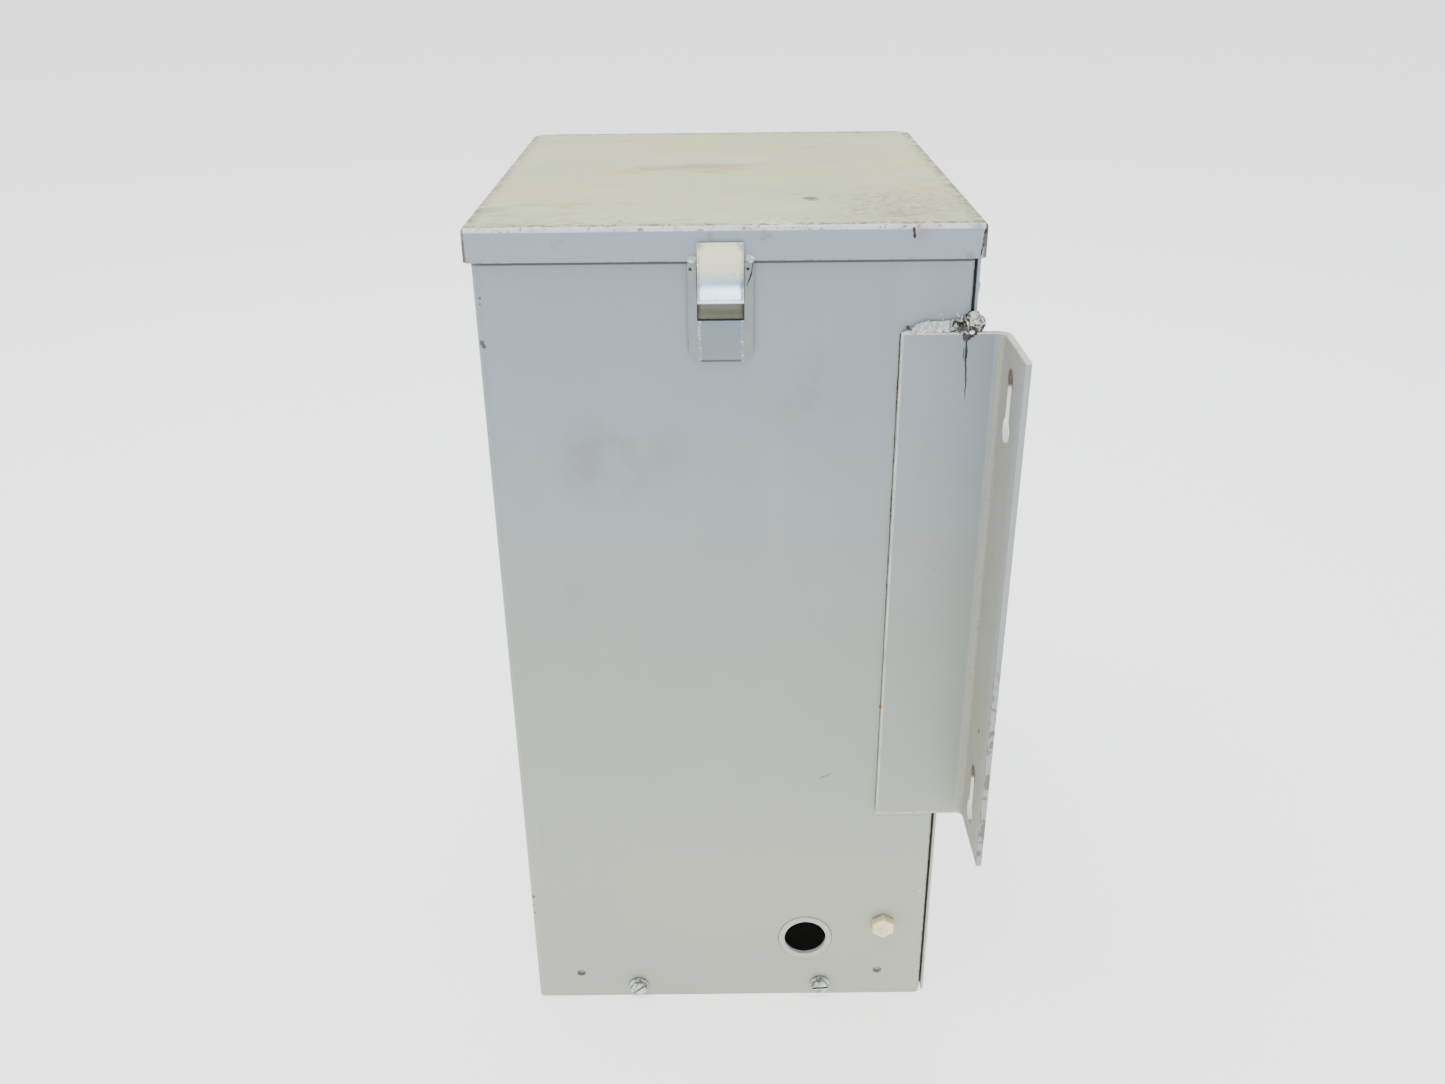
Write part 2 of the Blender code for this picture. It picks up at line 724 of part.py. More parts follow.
def make_lid_hinges():
    middle, outer = knuckle_cuts()
    pivot = (LID_PIVOT_X, LID_PIVOT_Z)
    wall_x = -(SIDE_X + FIT + LEAF / 2)
    tangent_x = LID_PIVOT_X + CURL_RADIUS
    body_plate = rounded_path([(wall_x, 0.376), (wall_x, 0.3965), (tangent_x, 0.4005),
                               (tangent_x, LID_PIVOT_Z - 0.0005)], 0.002, 2)
    body_path = curl_path(body_plate, pivot, 0, 270)
    lid_path = curl_path([(tangent_x, 0.4178), (tangent_x, LID_PIVOT_Z + 0.0006)], pivot, 0, -270)
    for index, y in enumerate(LID_HINGE_YS):
        place = frame_matrix((1, 0, 0), (0, 0, 1), (0, y, 0))
        tag = f"lid_hinge_{index + 1}"
        make_leaf(f"{tag}_body_leaf", body_path, place, middle, pivot)
        lid_leaf = make_leaf(f"{tag}_lid_leaf", lid_path, place, outer, pivot)
        move_origin(lid_leaf, (LID_PIVOT_X, y, LID_PIVOT_Z))
        make_pin(f"{tag}_pin", pivot, place)


def make_door_hinges():
    middle, outer = knuckle_cuts()
    pivot = (DOOR_PIVOT_X, DOOR_PIVOT_Y)
    wall_y = DOOR_PIVOT_Y + CURL_RADIUS
    body_path = curl_path([(-0.116, wall_y), (DOOR_PIVOT_X - 0.0006, wall_y)], pivot, 90, -180)
    door_path = curl_path([(-0.066, DOOR_LEAF_Y), (DOOR_PIVOT_X + 0.0006, DOOR_LEAF_Y)], pivot, -90, -360)
    for tag, z in zip(("lower", "upper"), DOOR_HINGE_ZS):
        place = along_z(z)
        make_leaf(f"door_hinge_{tag}_body_leaf", body_path, place, middle, pivot)
        door_leaf = make_leaf(f"door_hinge_{tag}_door_leaf", door_path, place, outer, pivot)
        move_origin(door_leaf, (DOOR_PIVOT_X, DOOR_PIVOT_Y, z))
        make_pin(f"door_hinge_{tag}_pin", pivot, place)


# ---- door ---------------------------------------------------------------------------
def make_door():
    bend = 0.0014
    flat_x = DOOR_X - bend
    half_z = (DOOR_TOP - DOOR_BOTTOM) / 2 - bend
    corners = [(-flat_x, -half_z), (flat_x, -half_z), (flat_x, half_z), (-flat_x, half_z)]
    steps = fold_steps(bend, DOOR_RIM, 3)
    middle_z = (DOOR_TOP + DOOR_BOTTOM) / 2
    door = folded_panel("door", corners, {0: steps, 1: steps, 2: steps, 3: steps}, THIN,
                        "panel_enamel", out_of_front(0, middle_z, DOOR_FACE_Y))
    shaft_hole = hole_cutter("cut_door_latch", 0.0044, out_of_front(LATCH_X, LATCH_Z, DOOR_FACE_Y))
    cut(door, [shaft_hole])
    return move_origin(smooth(door), (DOOR_PIVOT_X, DOOR_PIVOT_Y, middle_z))


def make_door_latch():
    """A wing knob outside the door, on one shaft with a cam behind the front wall."""
    place = out_of_front(LATCH_X, LATCH_Z, DOOR_FACE_Y)
    knob = lofted("door_latch_knob", [
        ("round", 0.0105, 0.0028),
        ("round", 0.0118, 0.0020),
        ("round", 0.0118, FIT),
        ("round", 0.0040, FIT),
        ("round", 0.0040, FIT - CAM_NEAR),
    ], "zinc", place)
    wing = prism("wing_of_knob", rectangle(0.0022, 0.0105), 0.0022, 0.0078, None, place)
    soften(wing, 0.0008)
    join = knob.modifiers.new("wing", "BOOLEAN")
    join.operation = "UNION"
    join.solver = "EXACT"
    join.object = wing
    wing.hide_render = True
    wing.display_type = "WIRE"
    move_origin(smooth(knob), (LATCH_X, DOOR_FACE_Y, LATCH_Z))
    tip = arc((0, -0.0390), 0.0055, 180, 360, 6)
    boss = arc((0, 0), 0.0080, -30, 210, 10)
    cam = prism("door_latch_cam", tip + boss, -CAM_FAR, -CAM_NEAR, "zinc", place)
    return move_origin(cam, (LATCH_X, DOOR_FACE_Y, LATCH_Z))


# ---- interior -----------------------------------------------------------------------
def make_pan():
    foot_y = BACK_Y - SHEET - FIT - SHEET / 2
    web_y = PAN_Y + SHEET / 2
    corners = [(-0.114, foot_y), (-PAN_X, foot_y), (-PAN_X, web_y)]
    corners += [(PAN_X, web_y), (PAN_X, foot_y), (0.114, foot_y)]
    outline = strip_outline(rounded_path(corners, 0.0025, 3), SHEET)
    return smooth(prism("mounting_pan", outline, PAN_BOTTOM, PAN_TOP, "panel_enamel"))


def make_bus():
    block = box("bus_insulator", (-0.030, BASE_BLOCK_Y, 0.086), (0.030, PAN_Y - FIT, 0.366), "insulator")
    soften(block, 0.0012)
    for tag, x in (("left", -BUS_X), ("right", BUS_X)):
        bar = box(f"bus_bar_{tag}", (x - 0.007, BUS_Y, 0.100),
                  (x + 0.007, BASE_BLOCK_Y - FIT, 0.362), "copper")
        soften(bar, 0.0004, 1)
        lug = box(f"main_lug_{tag}", (x - 0.0085, BUS_Y - 0.0185, 0.3425), (x + 0.0085, BUS_Y - FIT, 0.3600),
                  "aluminium")
        wire = prism(f"cut_wire_{tag}", circle(0.0055, 16), -0.020, 0.020, None,
                     Matrix.Translation((x, BUS_Y - 0.0105, 0.352)))
        screw = hole_cutter(f"cut_lug_screw_{tag}", 0.0042, out_of_front(x, 0.351, BUS_Y - 0.0185), 0.006, 12)
        cut(lug, [wire, screw])


def make_terminal_bar(name, x, paint, holes):
    low = (x - 0.0055, PAN_Y - FIT - 0.010, 0.088)
    high = (x + 0.0055, PAN_Y - FIT, 0.088 + 0.0095 * holes + 0.004)
    bar = box(name, low, high, paint)
    cutters = []
    for index in range(holes):
        z = 0.0945 + 0.0095 * index
        wire = prism(f"cut_{name}_{index}", circle(0.0022, 8), -0.008, 0.008, None,
                     frame_matrix((0, 1, 0), (0, 0, 1), (x, PAN_Y - 0.0064, z)))
        cutters.append(wire)
    return cut(bar, cutters)


def make_breaker_case(name, place, length, half_width, nose, pocket):
    """A moulded case with a raised nose; local X is its length and local Z its front."""
    back, shoulder, tip = -BREAKER_BACK_Y, -BREAKER_SHOULDER_Y, -BREAKER_NOSE_Y
    profile = [
        (0, back),
        (length, back),
        (length, shoulder - 0.006),
        (length - 0.006, shoulder),
        (nose[1] + 0.003, shoulder),
        (nose[1], tip),
        (nose[0], tip),
        (nose[0] - 0.003, shoulder),
        (0.002, shoulder),
        (0, shoulder - 0.002),
    ]
    turned = place @ Matrix.Rotation(math.radians(90), 4, "X")
    case = prism(name, profile, -half_width, half_width, "black_plastic", turned)
    slot = prism(f"cut_{name}", rectangle((pocket[1] - pocket[0]) / 2, pocket[2],
                                          ((pocket[0] + pocket[1]) / 2, 0)),
                 tip - 0.0125, tip + 0.002, None, place)
    return cut(case, [slot])


def make_handle(name, place, pivot_along, half_width, start_angle):
    """A toggle with a round hub; local X is the throw direction and local Z the front."""
    hub = 0.0052
    half_grip = 0.0032
    lean = math.degrees(math.asin(half_grip / hub))
    hub_arc = arc((0, 0), hub, 90 + lean, 450 - lean, 12)
    grip = [
        (half_grip, 0.0150),
        (half_grip - 0.0006, 0.0160),
        (0.0006 - half_grip, 0.0160),
        (-half_grip, 0.0150),
    ]
    spin = Matrix.Rotation(math.radians(start_angle), 4, "Y")
    pivot = place @ Matrix.Translation((pivot_along, 0, -BREAKER_NOSE_Y - 0.0064))
    turned = pivot @ spin @ Matrix.Rotation(math.radians(90), 4, "X")
    handle = prism(name, hub_arc + grip, -half_width, half_width, "handle_plastic", turned)
    return move_origin(smooth(handle), pivot.translation)


def make_breakers():
    half_width = BREAKER_PITCH / 2 - 0.0003
    nose = (0.006, 0.036)
    pocket = (0.0100, 0.0320, 0.0046)
    for row, z in enumerate(BREAKER_ZS):
        for side, sign in (("left", -1), ("right", 1)):
            place = frame_matrix((sign, 0, 0), (0, 0, sign), (sign * 0.0012, 0, z))
            tag = f"breaker_{side}_{row + 1}"
            make_breaker_case(f"{tag}_case", place, BREAKER_LENGTH, half_width, nose, pocket)
            make_handle(f"{tag}_handle", place, 0.0210, 0.0040, -HANDLE_LEAN)
    place = frame_matrix((0, 0, 1), (-1, 0, 0), (0, 0, MAIN_Z - MAIN_HALF_Z))
    length = 2 * MAIN_HALF_Z
    main_nose = (0.020, 0.056)
    make_breaker_case("main_breaker_case", place, length, MAIN_HALF_X, main_nose, (0.026, 0.050, 0.0126))
    make_handle("main_breaker_handle", place, MAIN_HALF_Z, 0.0120, HANDLE_LEAN)


def make_dead_front():
    """Face, four walls that come forward, and a lip behind the front wall."""
    face_y = TUB_FACE_Y
    mouth_y = FRONT_Y + SHEET + FIT + THIN
    bend = 0.0015
    flat_x = TUB_X - bend
    half_z = (TUB_TOP - TUB_BOTTOM) / 2 - bend
    middle_z = (TUB_TOP + TUB_BOTTOM) / 2
    corners = [(-flat_x, -half_z), (flat_x, -half_z), (flat_x, half_z), (-flat_x, half_z)]
    wall = face_y - mouth_y
    steps = fold_steps(bend, wall)
    steps.append((bend + TUB_LIP, wall))
    flipped = frame_matrix((-1, 0, 0), (0, 0, 1), (0, face_y, middle_z))
    folds = {0: steps, 1: steps, 2: steps, 3: steps}
    tub = folded_panel("dead_front", corners, folds, THIN, "panel_enamel", flipped)
    gap = 0.0009
    low_y = face_y - 0.004
    high_y = face_y + 0.004
    rows_low = BREAKER_ZS[-1] - BREAKER_PITCH / 2 - gap
    rows_high = BREAKER_ZS[0] + BREAKER_PITCH / 2 + gap
    cutters = []
    for tag, sign in (("left", -1), ("right", 1)):
        inner = sign * (0.0012 + 0.006 - 0.003 - gap)
        outer = sign * (0.0012 + 0.036 + 0.003 + gap)
        low = (min(inner, outer), low_y, rows_low)
        high = (max(inner, outer), high_y, rows_high)
        cutters.append(box(f"cut_rows_{tag}", low, high, None))
    main_low = MAIN_Z - MAIN_HALF_Z + 0.020 - 0.003 - gap
    main_high = MAIN_Z - MAIN_HALF_Z + 0.056 + 0.003 + gap
    cutters.append(box("cut_main", (-MAIN_HALF_X - gap, low_y, main_low),
                       (MAIN_HALF_X + gap, high_y, main_high), None))
    for sign in (-1, 1):
        for z in TUB_SCREW_ZS:
            tag = f"cut_lip_{'l' if sign < 0 else 'r'}_{round(z * 1000)}"
            place = out_of_front(sign * TUB_SCREW_X, z, mouth_y)
            cutters.append(hole_cutter(tag, 0.0021, place, sides=16))
    return smooth(cut(tub, cutters))


def make_part():
    clear_scene()
    make_body_shell()
    make_back_plate()
    make_back_gasket()
    make_back_screws()
    make_dead_front_screws()
    make_bottom_plate()
    make_base_screws()
    make_mounting_angle("mounting_angle_near", 1)
    make_mounting_angle("mounting_angle_far", -1)
    make_side_fittings()
    make_lid()
    make_catch_tongue()
    make_catch_clip()
    make_lid_hinges()
    make_door()
    make_door_hinges()
    make_door_latch()
    make_pan()
    make_bus()
    make_terminal_bar("neutral_bar", -0.060, "aluminium", 9)
    make_terminal_bar("ground_bar", 0.060, "copper", 9)
    make_breakers()
    make_dead_front()


make_part()
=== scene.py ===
import json
import math
import random

import bmesh
import bpy
from mathutils import Matrix, Vector, noise


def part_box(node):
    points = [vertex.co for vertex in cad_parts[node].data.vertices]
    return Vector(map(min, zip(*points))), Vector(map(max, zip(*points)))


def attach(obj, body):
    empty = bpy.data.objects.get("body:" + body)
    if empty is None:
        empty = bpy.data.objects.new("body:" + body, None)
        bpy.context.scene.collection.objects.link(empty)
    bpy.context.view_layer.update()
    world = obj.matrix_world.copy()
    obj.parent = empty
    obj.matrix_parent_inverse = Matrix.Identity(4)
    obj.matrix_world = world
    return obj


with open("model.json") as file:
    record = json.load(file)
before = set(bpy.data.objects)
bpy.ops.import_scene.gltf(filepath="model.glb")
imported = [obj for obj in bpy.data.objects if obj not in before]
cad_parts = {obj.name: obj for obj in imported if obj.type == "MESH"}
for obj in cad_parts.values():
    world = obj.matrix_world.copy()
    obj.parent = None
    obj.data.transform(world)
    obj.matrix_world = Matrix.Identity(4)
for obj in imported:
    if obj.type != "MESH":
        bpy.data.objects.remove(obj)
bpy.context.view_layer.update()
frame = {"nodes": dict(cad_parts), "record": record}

NODES = frame["nodes"]

# ---- places read from the frame
SHELL_LOW, SHELL_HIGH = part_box("body_shell")
LID_LOW, LID_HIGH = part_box("lid")
ANGLE_LOW, ANGLE_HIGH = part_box("mounting_angle_near")
TONGUE_LOW, TONGUE_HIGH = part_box("catch_tongue")
CLIP_LOW, CLIP_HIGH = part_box("catch_clip")
DOOR_LOW, DOOR_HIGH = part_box("door")

SIDE_X = SHELL_HIGH.x
CATCH_Y = (CLIP_LOW.y + CLIP_HIGH.y) / 2
LEG_FACE_X = SIDE_X + 0.0028
SIDES = (("near", 1), ("far", -1))
FLANGE_Y = 0.1148
WINDOW_LOW_Z = 0.3808
WINDOW_HIGH_Z = 0.4030
CLIP_END_Z = 0.3908
BOLT_Y = 0.0817
BOLT_Z = 0.0498
KEYHOLE_OUT = 0.0205
KEYHOLE_TOPS = (0.1612, 0.3597)
HINGE_LEAF_Y = -0.1055
BREAKER_TERMINAL_Y = -0.0520
LUG_SCREW_Z = 0.351
PAN_SCREW_HEIGHTS = {"low": 0.080, "high": 0.362}

# ---- camera: out in front of the +X wall, looking a little down
CAMERA_OUT = 0.5229
CAMERA_SIDE = -0.0018
CAMERA_HEIGHT = 0.5335
CAMERA_PITCH = 26.16
CAMERA_ROLL = -0.56
CAMERA_LENS = 31.94


# ---- shader graphs
class Graph:
    """Adds shader nodes to one material, each call giving back the output to use next."""

    def __init__(self, name):
        self.material = bpy.data.materials.new(name)
        self.material.use_nodes = True
        self.tree = self.material.node_tree
        self.shader = self.tree.nodes["Principled BSDF"]
        coordinates = self.add("ShaderNodeTexCoord")
        self.place = coordinates.outputs["Object"]
        self.own_normal = coordinates.outputs["Normal"]
        self.x, self.y, self.z = self.add("ShaderNodeSeparateXYZ", {0: self.place}).outputs

    def add(self, kind, inputs=None, **settings):
        """A new node; its inputs are linked or set by name or number."""
        node = self.tree.nodes.new(kind)
        for key, value in settings.items():
            setattr(node, key, value)
        for key, value in (inputs or {}).items():
            self.feed(node.inputs[key], value)
        return node

    def feed(self, socket, value):
        """Link an output, or set a plain value, on a socket."""
        if isinstance(value, bpy.types.NodeSocket):
            self.tree.links.new(value, socket)
        elif isinstance(value, tuple) and len(value) == 3 and socket.type == "RGBA":
            socket.default_value = (*value, 1.0)
        else:
            socket.default_value = value

    def stretched(self, scale, turn=(0, 0, 0), shift=(0, 0, 0)):
        inputs = {"Vector": self.place, "Scale": scale, "Rotation": turn, "Location": shift}
        return self.add("ShaderNodeMapping", inputs).outputs["Vector"]

    def noise(self, scale, detail=4.0, rough=0.55, place=None, distort=0.0):
        inputs = {"Vector": place or self.place, "Scale": scale, "Detail": detail, "Roughness": rough}
        return self.add("ShaderNodeTexNoise", {**inputs, "Distortion": distort}).outputs["Fac"]

    def streaks(self, scale, detail=3.0, rough=0.6, turn=(0, 0, 0), shift=(0, 0, 0), distort=0.0):
        """Noise drawn out more along some axes than along others."""
        return self.noise(1.0, detail, rough, self.stretched(scale, turn, shift), distort)

    def cells(self, scale, place=None):
        inputs = {"Vector": place or self.place, "Scale": scale}
        return self.add("ShaderNodeTexVoronoi", inputs).outputs["Distance"]

    def span(self, value, low, high, to_low=0.0, to_high=1.0):
        """Map a range onto another, clamped and eased."""
        inputs = {"Value": value, "From Min": low, "From Max": high, "To Min": to_low, "To Max": to_high}
        return self.add("ShaderNodeMapRange", inputs, interpolation_type="SMOOTHSTEP").outputs["Result"]

    def fall(self, value, low, high):
        """1 below a range, easing to 0 above it."""
        return self.span(value, low, high, 1.0, 0.0)

    def drift(self, scale, detail, low, high):
        """A roughness that wanders between two values."""
        return self.span(self.noise(scale, detail), 0.3, 0.7, low, high)

    def math(self, kind, first, second=0.0, clamp=False):
        return self.add("ShaderNodeMath", {0: first, 1: second}, operation=kind, use_clamp=clamp).outputs[0]

    def apart(self, value, middle):
        """How far a value is from a middle one, to either side."""
        return self.math("ABSOLUTE", self.math("SUBTRACT", value, middle))

    def times(self, first, second):
        """The product of two masks, or of a mask and a strength."""
        return self.math("MULTIPLY", first, second)

    def mix(self, factor, first, second):
        """A blend of two colours; 6, 7 and 2 are the node's colour sockets."""
        return self.add("ShaderNodeMix", {0: factor, 6: first, 7: second}, data_type="RGBA").outputs[2]

    def tint(self, tone, mask, strength, colour):
        """Lay a colour over a tone through a mask."""
        return self.mix(self.times(mask, strength), tone, colour)

    def patches(self, tone, scale, detail, low, high, strength, colour):
        """Lay a colour over a tone wherever noise runs high."""
        return self.mix(self.span(self.noise(scale, detail), low, high, 0.0, strength), tone, colour)

    def dab(self, tone, mask, scale, low, high, strength, colour):
        """Lay a colour over a tone through a mask that noise breaks up."""
        broken = self.times(mask, self.span(self.noise(scale, 4.0, 0.6), low, high))
        return self.tint(tone, broken, strength, colour)

    def band(self, value, low, high, soft):
        """1 between two values, easing to 0 outside them."""
        return self.times(self.span(value, low - soft, low), self.fall(value, high, high + soft))

    def near(self, centre, radius, soft):
        """1 inside a ball round a point, easing to 0 over a soft edge."""
        node = self.add("ShaderNodeVectorMath", {0: self.place, 1: centre}, operation="DISTANCE")
        return self.fall(node.outputs["Value"], radius, radius + soft)

    def edges(self, radius):
        """1 on corners sharper than a flat, from the difference a rounded normal makes."""
        rounded = self.add("ShaderNodeBevel", {"Radius": radius}, samples=6).outputs["Normal"]
        flat = self.add("ShaderNodeNewGeometry").outputs["Normal"]
        node = self.add("ShaderNodeVectorMath", {0: rounded, 1: flat}, operation="DOT_PRODUCT")
        return self.fall(node.outputs["Value"], 0.75, 0.98)

    def rounded(self, radius):
        """Normals that turn smoothly over a folded strip's bends."""
        return self.add("ShaderNodeBevel", {"Radius": radius}, samples=8).outputs["Normal"]

    def facing(self, index):
        """How far a face looks along one of its piece's own axes, from -1 to 1, however it is posed."""
        return self.add("ShaderNodeSeparateXYZ", {0: self.own_normal}).outputs[index]

    def upward(self):
        """1 on faces that look up while the piece is at rest."""
        return self.span(self.facing(2), 0.5, 0.9)

    def bump(self, height, distance, strength=1.0, under=None):
        inputs = {"Height": height, "Distance": distance, "Strength": strength}
        if under:
            inputs["Normal"] = under
        return self.add("ShaderNodeBump", inputs).outputs["Normal"]

    def finish(self, colour, roughness, normal, metallic=0.0, **fixed):
        self.feed(self.shader.inputs["Base Color"], colour)
        self.feed(self.shader.inputs["Roughness"], roughness)
        self.feed(self.shader.inputs["Metallic"], metallic)
        self.feed(self.shader.inputs["Normal"], normal)
        for key, value in fixed.items():
            self.shader.inputs[key.replace("_", " ")].default_value = value
        return self.material


# ---- paints
PRIMER = (0.30, 0.27, 0.22)
BARE_STEEL = (0.16, 0.145, 0.13)
RUST = (0.13, 0.055, 0.025)
GRIME = (0.15, 0.135, 0.10)
CREAM = (0.66, 0.65, 0.55)
# The low, middle and high wall tones make a painted-light gradient: lighter low down where the floor's bounce
# falls, darker and bluer high up.
WALL_LOW_LIT = (0.408, 0.420, 0.338)
WALL_MIDDLE = (0.270, 0.305, 0.248)
WALL_HIGH_SHADED = (0.232, 0.275, 0.322)
# Dark olive painted shade for the wall inside the catch's window.
WINDOW_SHADE = (0.115, 0.115, 0.075)
LID_BROWN = (0.31, 0.26, 0.16)

# Smudges on the wall: place along Y, height, radius, strength.
WALL_SMUDGES = [
    (-0.055, 0.317, 0.006, 0.32), (-0.034, 0.322, 0.002, 0.24), (0.030, 0.345, 0.004, 0.15),
    (0.046, 0.352, 0.002, 0.14), (-0.070, 0.250, 0.001, 0.12),
]
# Dark chips along the wall's front corner: distance in from the corner, height, radius.
WALL_CHIPS = [
    (0.0028, 0.3905, 0.0005), (0.0026, 0.3880, 0.0003), (0.0018, 0.3712, 0.0010),
    (0.0026, 0.3698, 0.0008), (0.0008, 0.3300, 0.0006), (0.0012, 0.0700, 0.0008),
    (0.0010, 0.0640, 0.0006), (0.0011, 0.0590, 0.0006), (0.0010, 0.0520, 0.0005),
]
# Dark spots on the lid's top: x, y, radius, strength.
LID_SPOTS = [
    (0.0686, 0.0387, 0.0021, 0.85), (0.0720, 0.0400, 0.0014, 0.80), (0.0600, 0.0330, 0.0012, 0.30),
    (0.0650, 0.0500, 0.0010, 0.30), (0.1120, -0.0420, 0.0006, 0.80),
]
# Brown stains on the lid's skirt: place along Y, height, radius.
LID_STAINS = [
    (-0.068, 0.4128, 0.0009), (-0.066, 0.4142, 0.0006), (-0.005, 0.4160, 0.0009), (0.0170, 0.4140, 0.0010),
    (0.0175, 0.4160, 0.0012), (0.0990, 0.4066, 0.0010), (0.1015, 0.4068, 0.0009), (0.0800, 0.4170, 0.0016),
]


def scratches(graph, turn, fine=1.0):
    """Long thin streaks that run one way, broken up along their length."""
    lines = graph.span(graph.streaks((9, 620 * fine, 9), 2.0, 0.5, turn), 0.7, 0.76)
    gaps = graph.span(graph.noise(14, 2.0), 0.52, 0.6)
    return graph.times(lines, gaps)


def sheet_bump(graph, chips):
    """Orange peel of sprayed enamel over slightly wavy sheet, with chips let in."""
    wavy = graph.bump(graph.noise(7, 1.0), 0.0012, 0.35)
    peel = graph.bump(graph.noise(650, 2.0, 0.5), 0.00006, 0.35, wavy)
    return graph.bump(graph.math("SUBTRACT", 1.0, chips), 0.00025, 0.8, peel)


def edge_wear(graph, reach, amount):
    """Chipped paint along edges; amount from 0 to 1 sets how much of an edge is bare."""
    patches = graph.noise(160, 5.0, 0.65)
    shelter = graph.noise(11, 2.0)
    patchy = graph.math("ADD", graph.times(patches, 0.65), graph.times(shelter, 0.35))
    limit = 0.66 - 0.2 * amount
    worn = graph.span(patchy, limit, limit + 0.03)
    return graph.times(worn, graph.edges(reach))


def enamel_tone(graph):
    """Sprayed grey enamel, clouded and streaked, with a painted-light gradient: lighter and greener low down,
    darker and bluer high up.
    """
    # Painted light: the tone runs from the lighter low colour at the bottom to the darker high colour at the
    # top.
    tone = graph.mix(graph.span(graph.z, 0.02, 0.4), WALL_LOW_LIT, WALL_HIGH_SHADED)
    middle = graph.times(graph.span(graph.z, 0.06, 0.19), graph.span(graph.z, 0.21, 0.36, 0.45, 0.0))
    tone = graph.mix(middle, tone, WALL_MIDDLE)
    tone = graph.patches(tone, 11, 5.0, 0.38, 0.7, 0.3, (0.255, 0.285, 0.285))
    streaky = graph.streaks((26, 26, 3.5), rough=0.55)
    tone = graph.mix(graph.span(streaky, 0.52, 0.78, 0.0, 0.16), tone, (0.41, 0.415, 0.37))
    return graph.patches(tone, 1500, 1.0, 0.3, 0.7, 0.07, (0.26, 0.27, 0.27))


def make_panel_enamel(name, marks=None, wear=0.35, scratched=0.28):
    """Grey enamel sheet; marks is a function that adds one piece's own dirt and damage."""
    graph = Graph(name)
    tone = enamel_tone(graph)
    shifted = graph.stretched((1, 1, 1), shift=(0.3, 0.1, 0.2))
    dots = graph.fall(graph.cells(95, shifted), 0.03, 0.055)
    dots = graph.times(dots, graph.span(graph.noise(23, 1.0), 0.56, 0.62))
    tone = graph.tint(tone, dots, 0.6, GRIME)
    lines = scratches(graph, (0.0, 0.35, 0.2))
    tone = graph.tint(tone, lines, scratched, (0.56, 0.57, 0.54))
    if marks:
        tone = marks(graph, tone)
    chips = edge_wear(graph, 0.0011, wear)
    under = graph.patches(PRIMER, 330, 2.0, 0.42, 0.6, 1.0, RUST)
    tone = graph.mix(chips, tone, under)
    gloss = graph.math("ADD", graph.drift(34, 3.0, 0.34, 0.48), graph.times(chips, 0.25))
    return graph.finish(tone, gloss, sheet_bump(graph, chips), Specular_IOR_Level=0.42)


def wall_marks(graph, tone):
    """Smudges, a painted shadow under the lid's rim, chips and shade down the front corner, painted shade in
    the catch's window, and rust along the back seam.
    """
    for y, z, size, strength in WALL_SMUDGES:
        smudge = graph.near((SIDE_X, y, z), size, 0.024)
        tone = graph.dab(tone, smudge, 60, 0.32, 0.68, strength, GRIME)
    # Painted shadow: a dark line on the wall just under the lid's rim.
    rim_shadow = graph.band(graph.z, LID_LOW.z - 0.0013, LID_LOW.z - 0.0002, 0.0006)
    tone = graph.dab(tone, rim_shadow, 40, 0.1, 0.38, 0.95, (0.035, 0.042, 0.05))
    front = graph.fall(graph.y, SHELL_LOW.y + 0.0002, SHELL_LOW.y + 0.0012)
    beside = graph.span(graph.math("ABSOLUTE", graph.x), SIDE_X - 0.0014, SIDE_X - 0.0004)
    front = graph.times(front, beside)
    tone = graph.dab(tone, front, 300, 0.46, 0.56, 0.55, PRIMER)
    shade = graph.fall(graph.y, SHELL_LOW.y + 0.001, SHELL_LOW.y + 0.0052)
    shade = graph.times(shade, graph.span(graph.z, 0.27, 0.36))
    shade = graph.times(shade, graph.span(graph.x, SIDE_X - 0.0006, SIDE_X - 0.0002))
    tone = graph.dab(tone, shade, 45, 0.15, 0.6, 0.4, (0.19, 0.2, 0.165))
    for y, z, size in WALL_CHIPS:
        chip = graph.near((SIDE_X, SHELL_LOW.y + y, z), size, size * 0.6)
        tone = graph.dab(tone, chip, 900, 0.32, 0.46, 0.95, (0.045, 0.045, 0.04))
    # Painted shade: the wall seen through the catch's window is tinted dark olive, as it lies in shade under
    # the clip.
    window = graph.times(graph.band(graph.y, CATCH_Y - 0.0098, CATCH_Y + 0.0098, 0.0008),
                         graph.band(graph.z, WINDOW_LOW_Z, WINDOW_HIGH_Z, 0.0008))
    window = graph.times(window, graph.span(graph.x, SIDE_X - 0.001, SIDE_X - 0.0005))
    tone = graph.tint(tone, window, 0.75, WINDOW_SHADE)
    seam = graph.span(graph.y, SHELL_HIGH.y - 0.0014, SHELL_HIGH.y - 0.0004)
    return graph.dab(tone, seam, 260, 0.42, 0.55, 0.6, RUST)


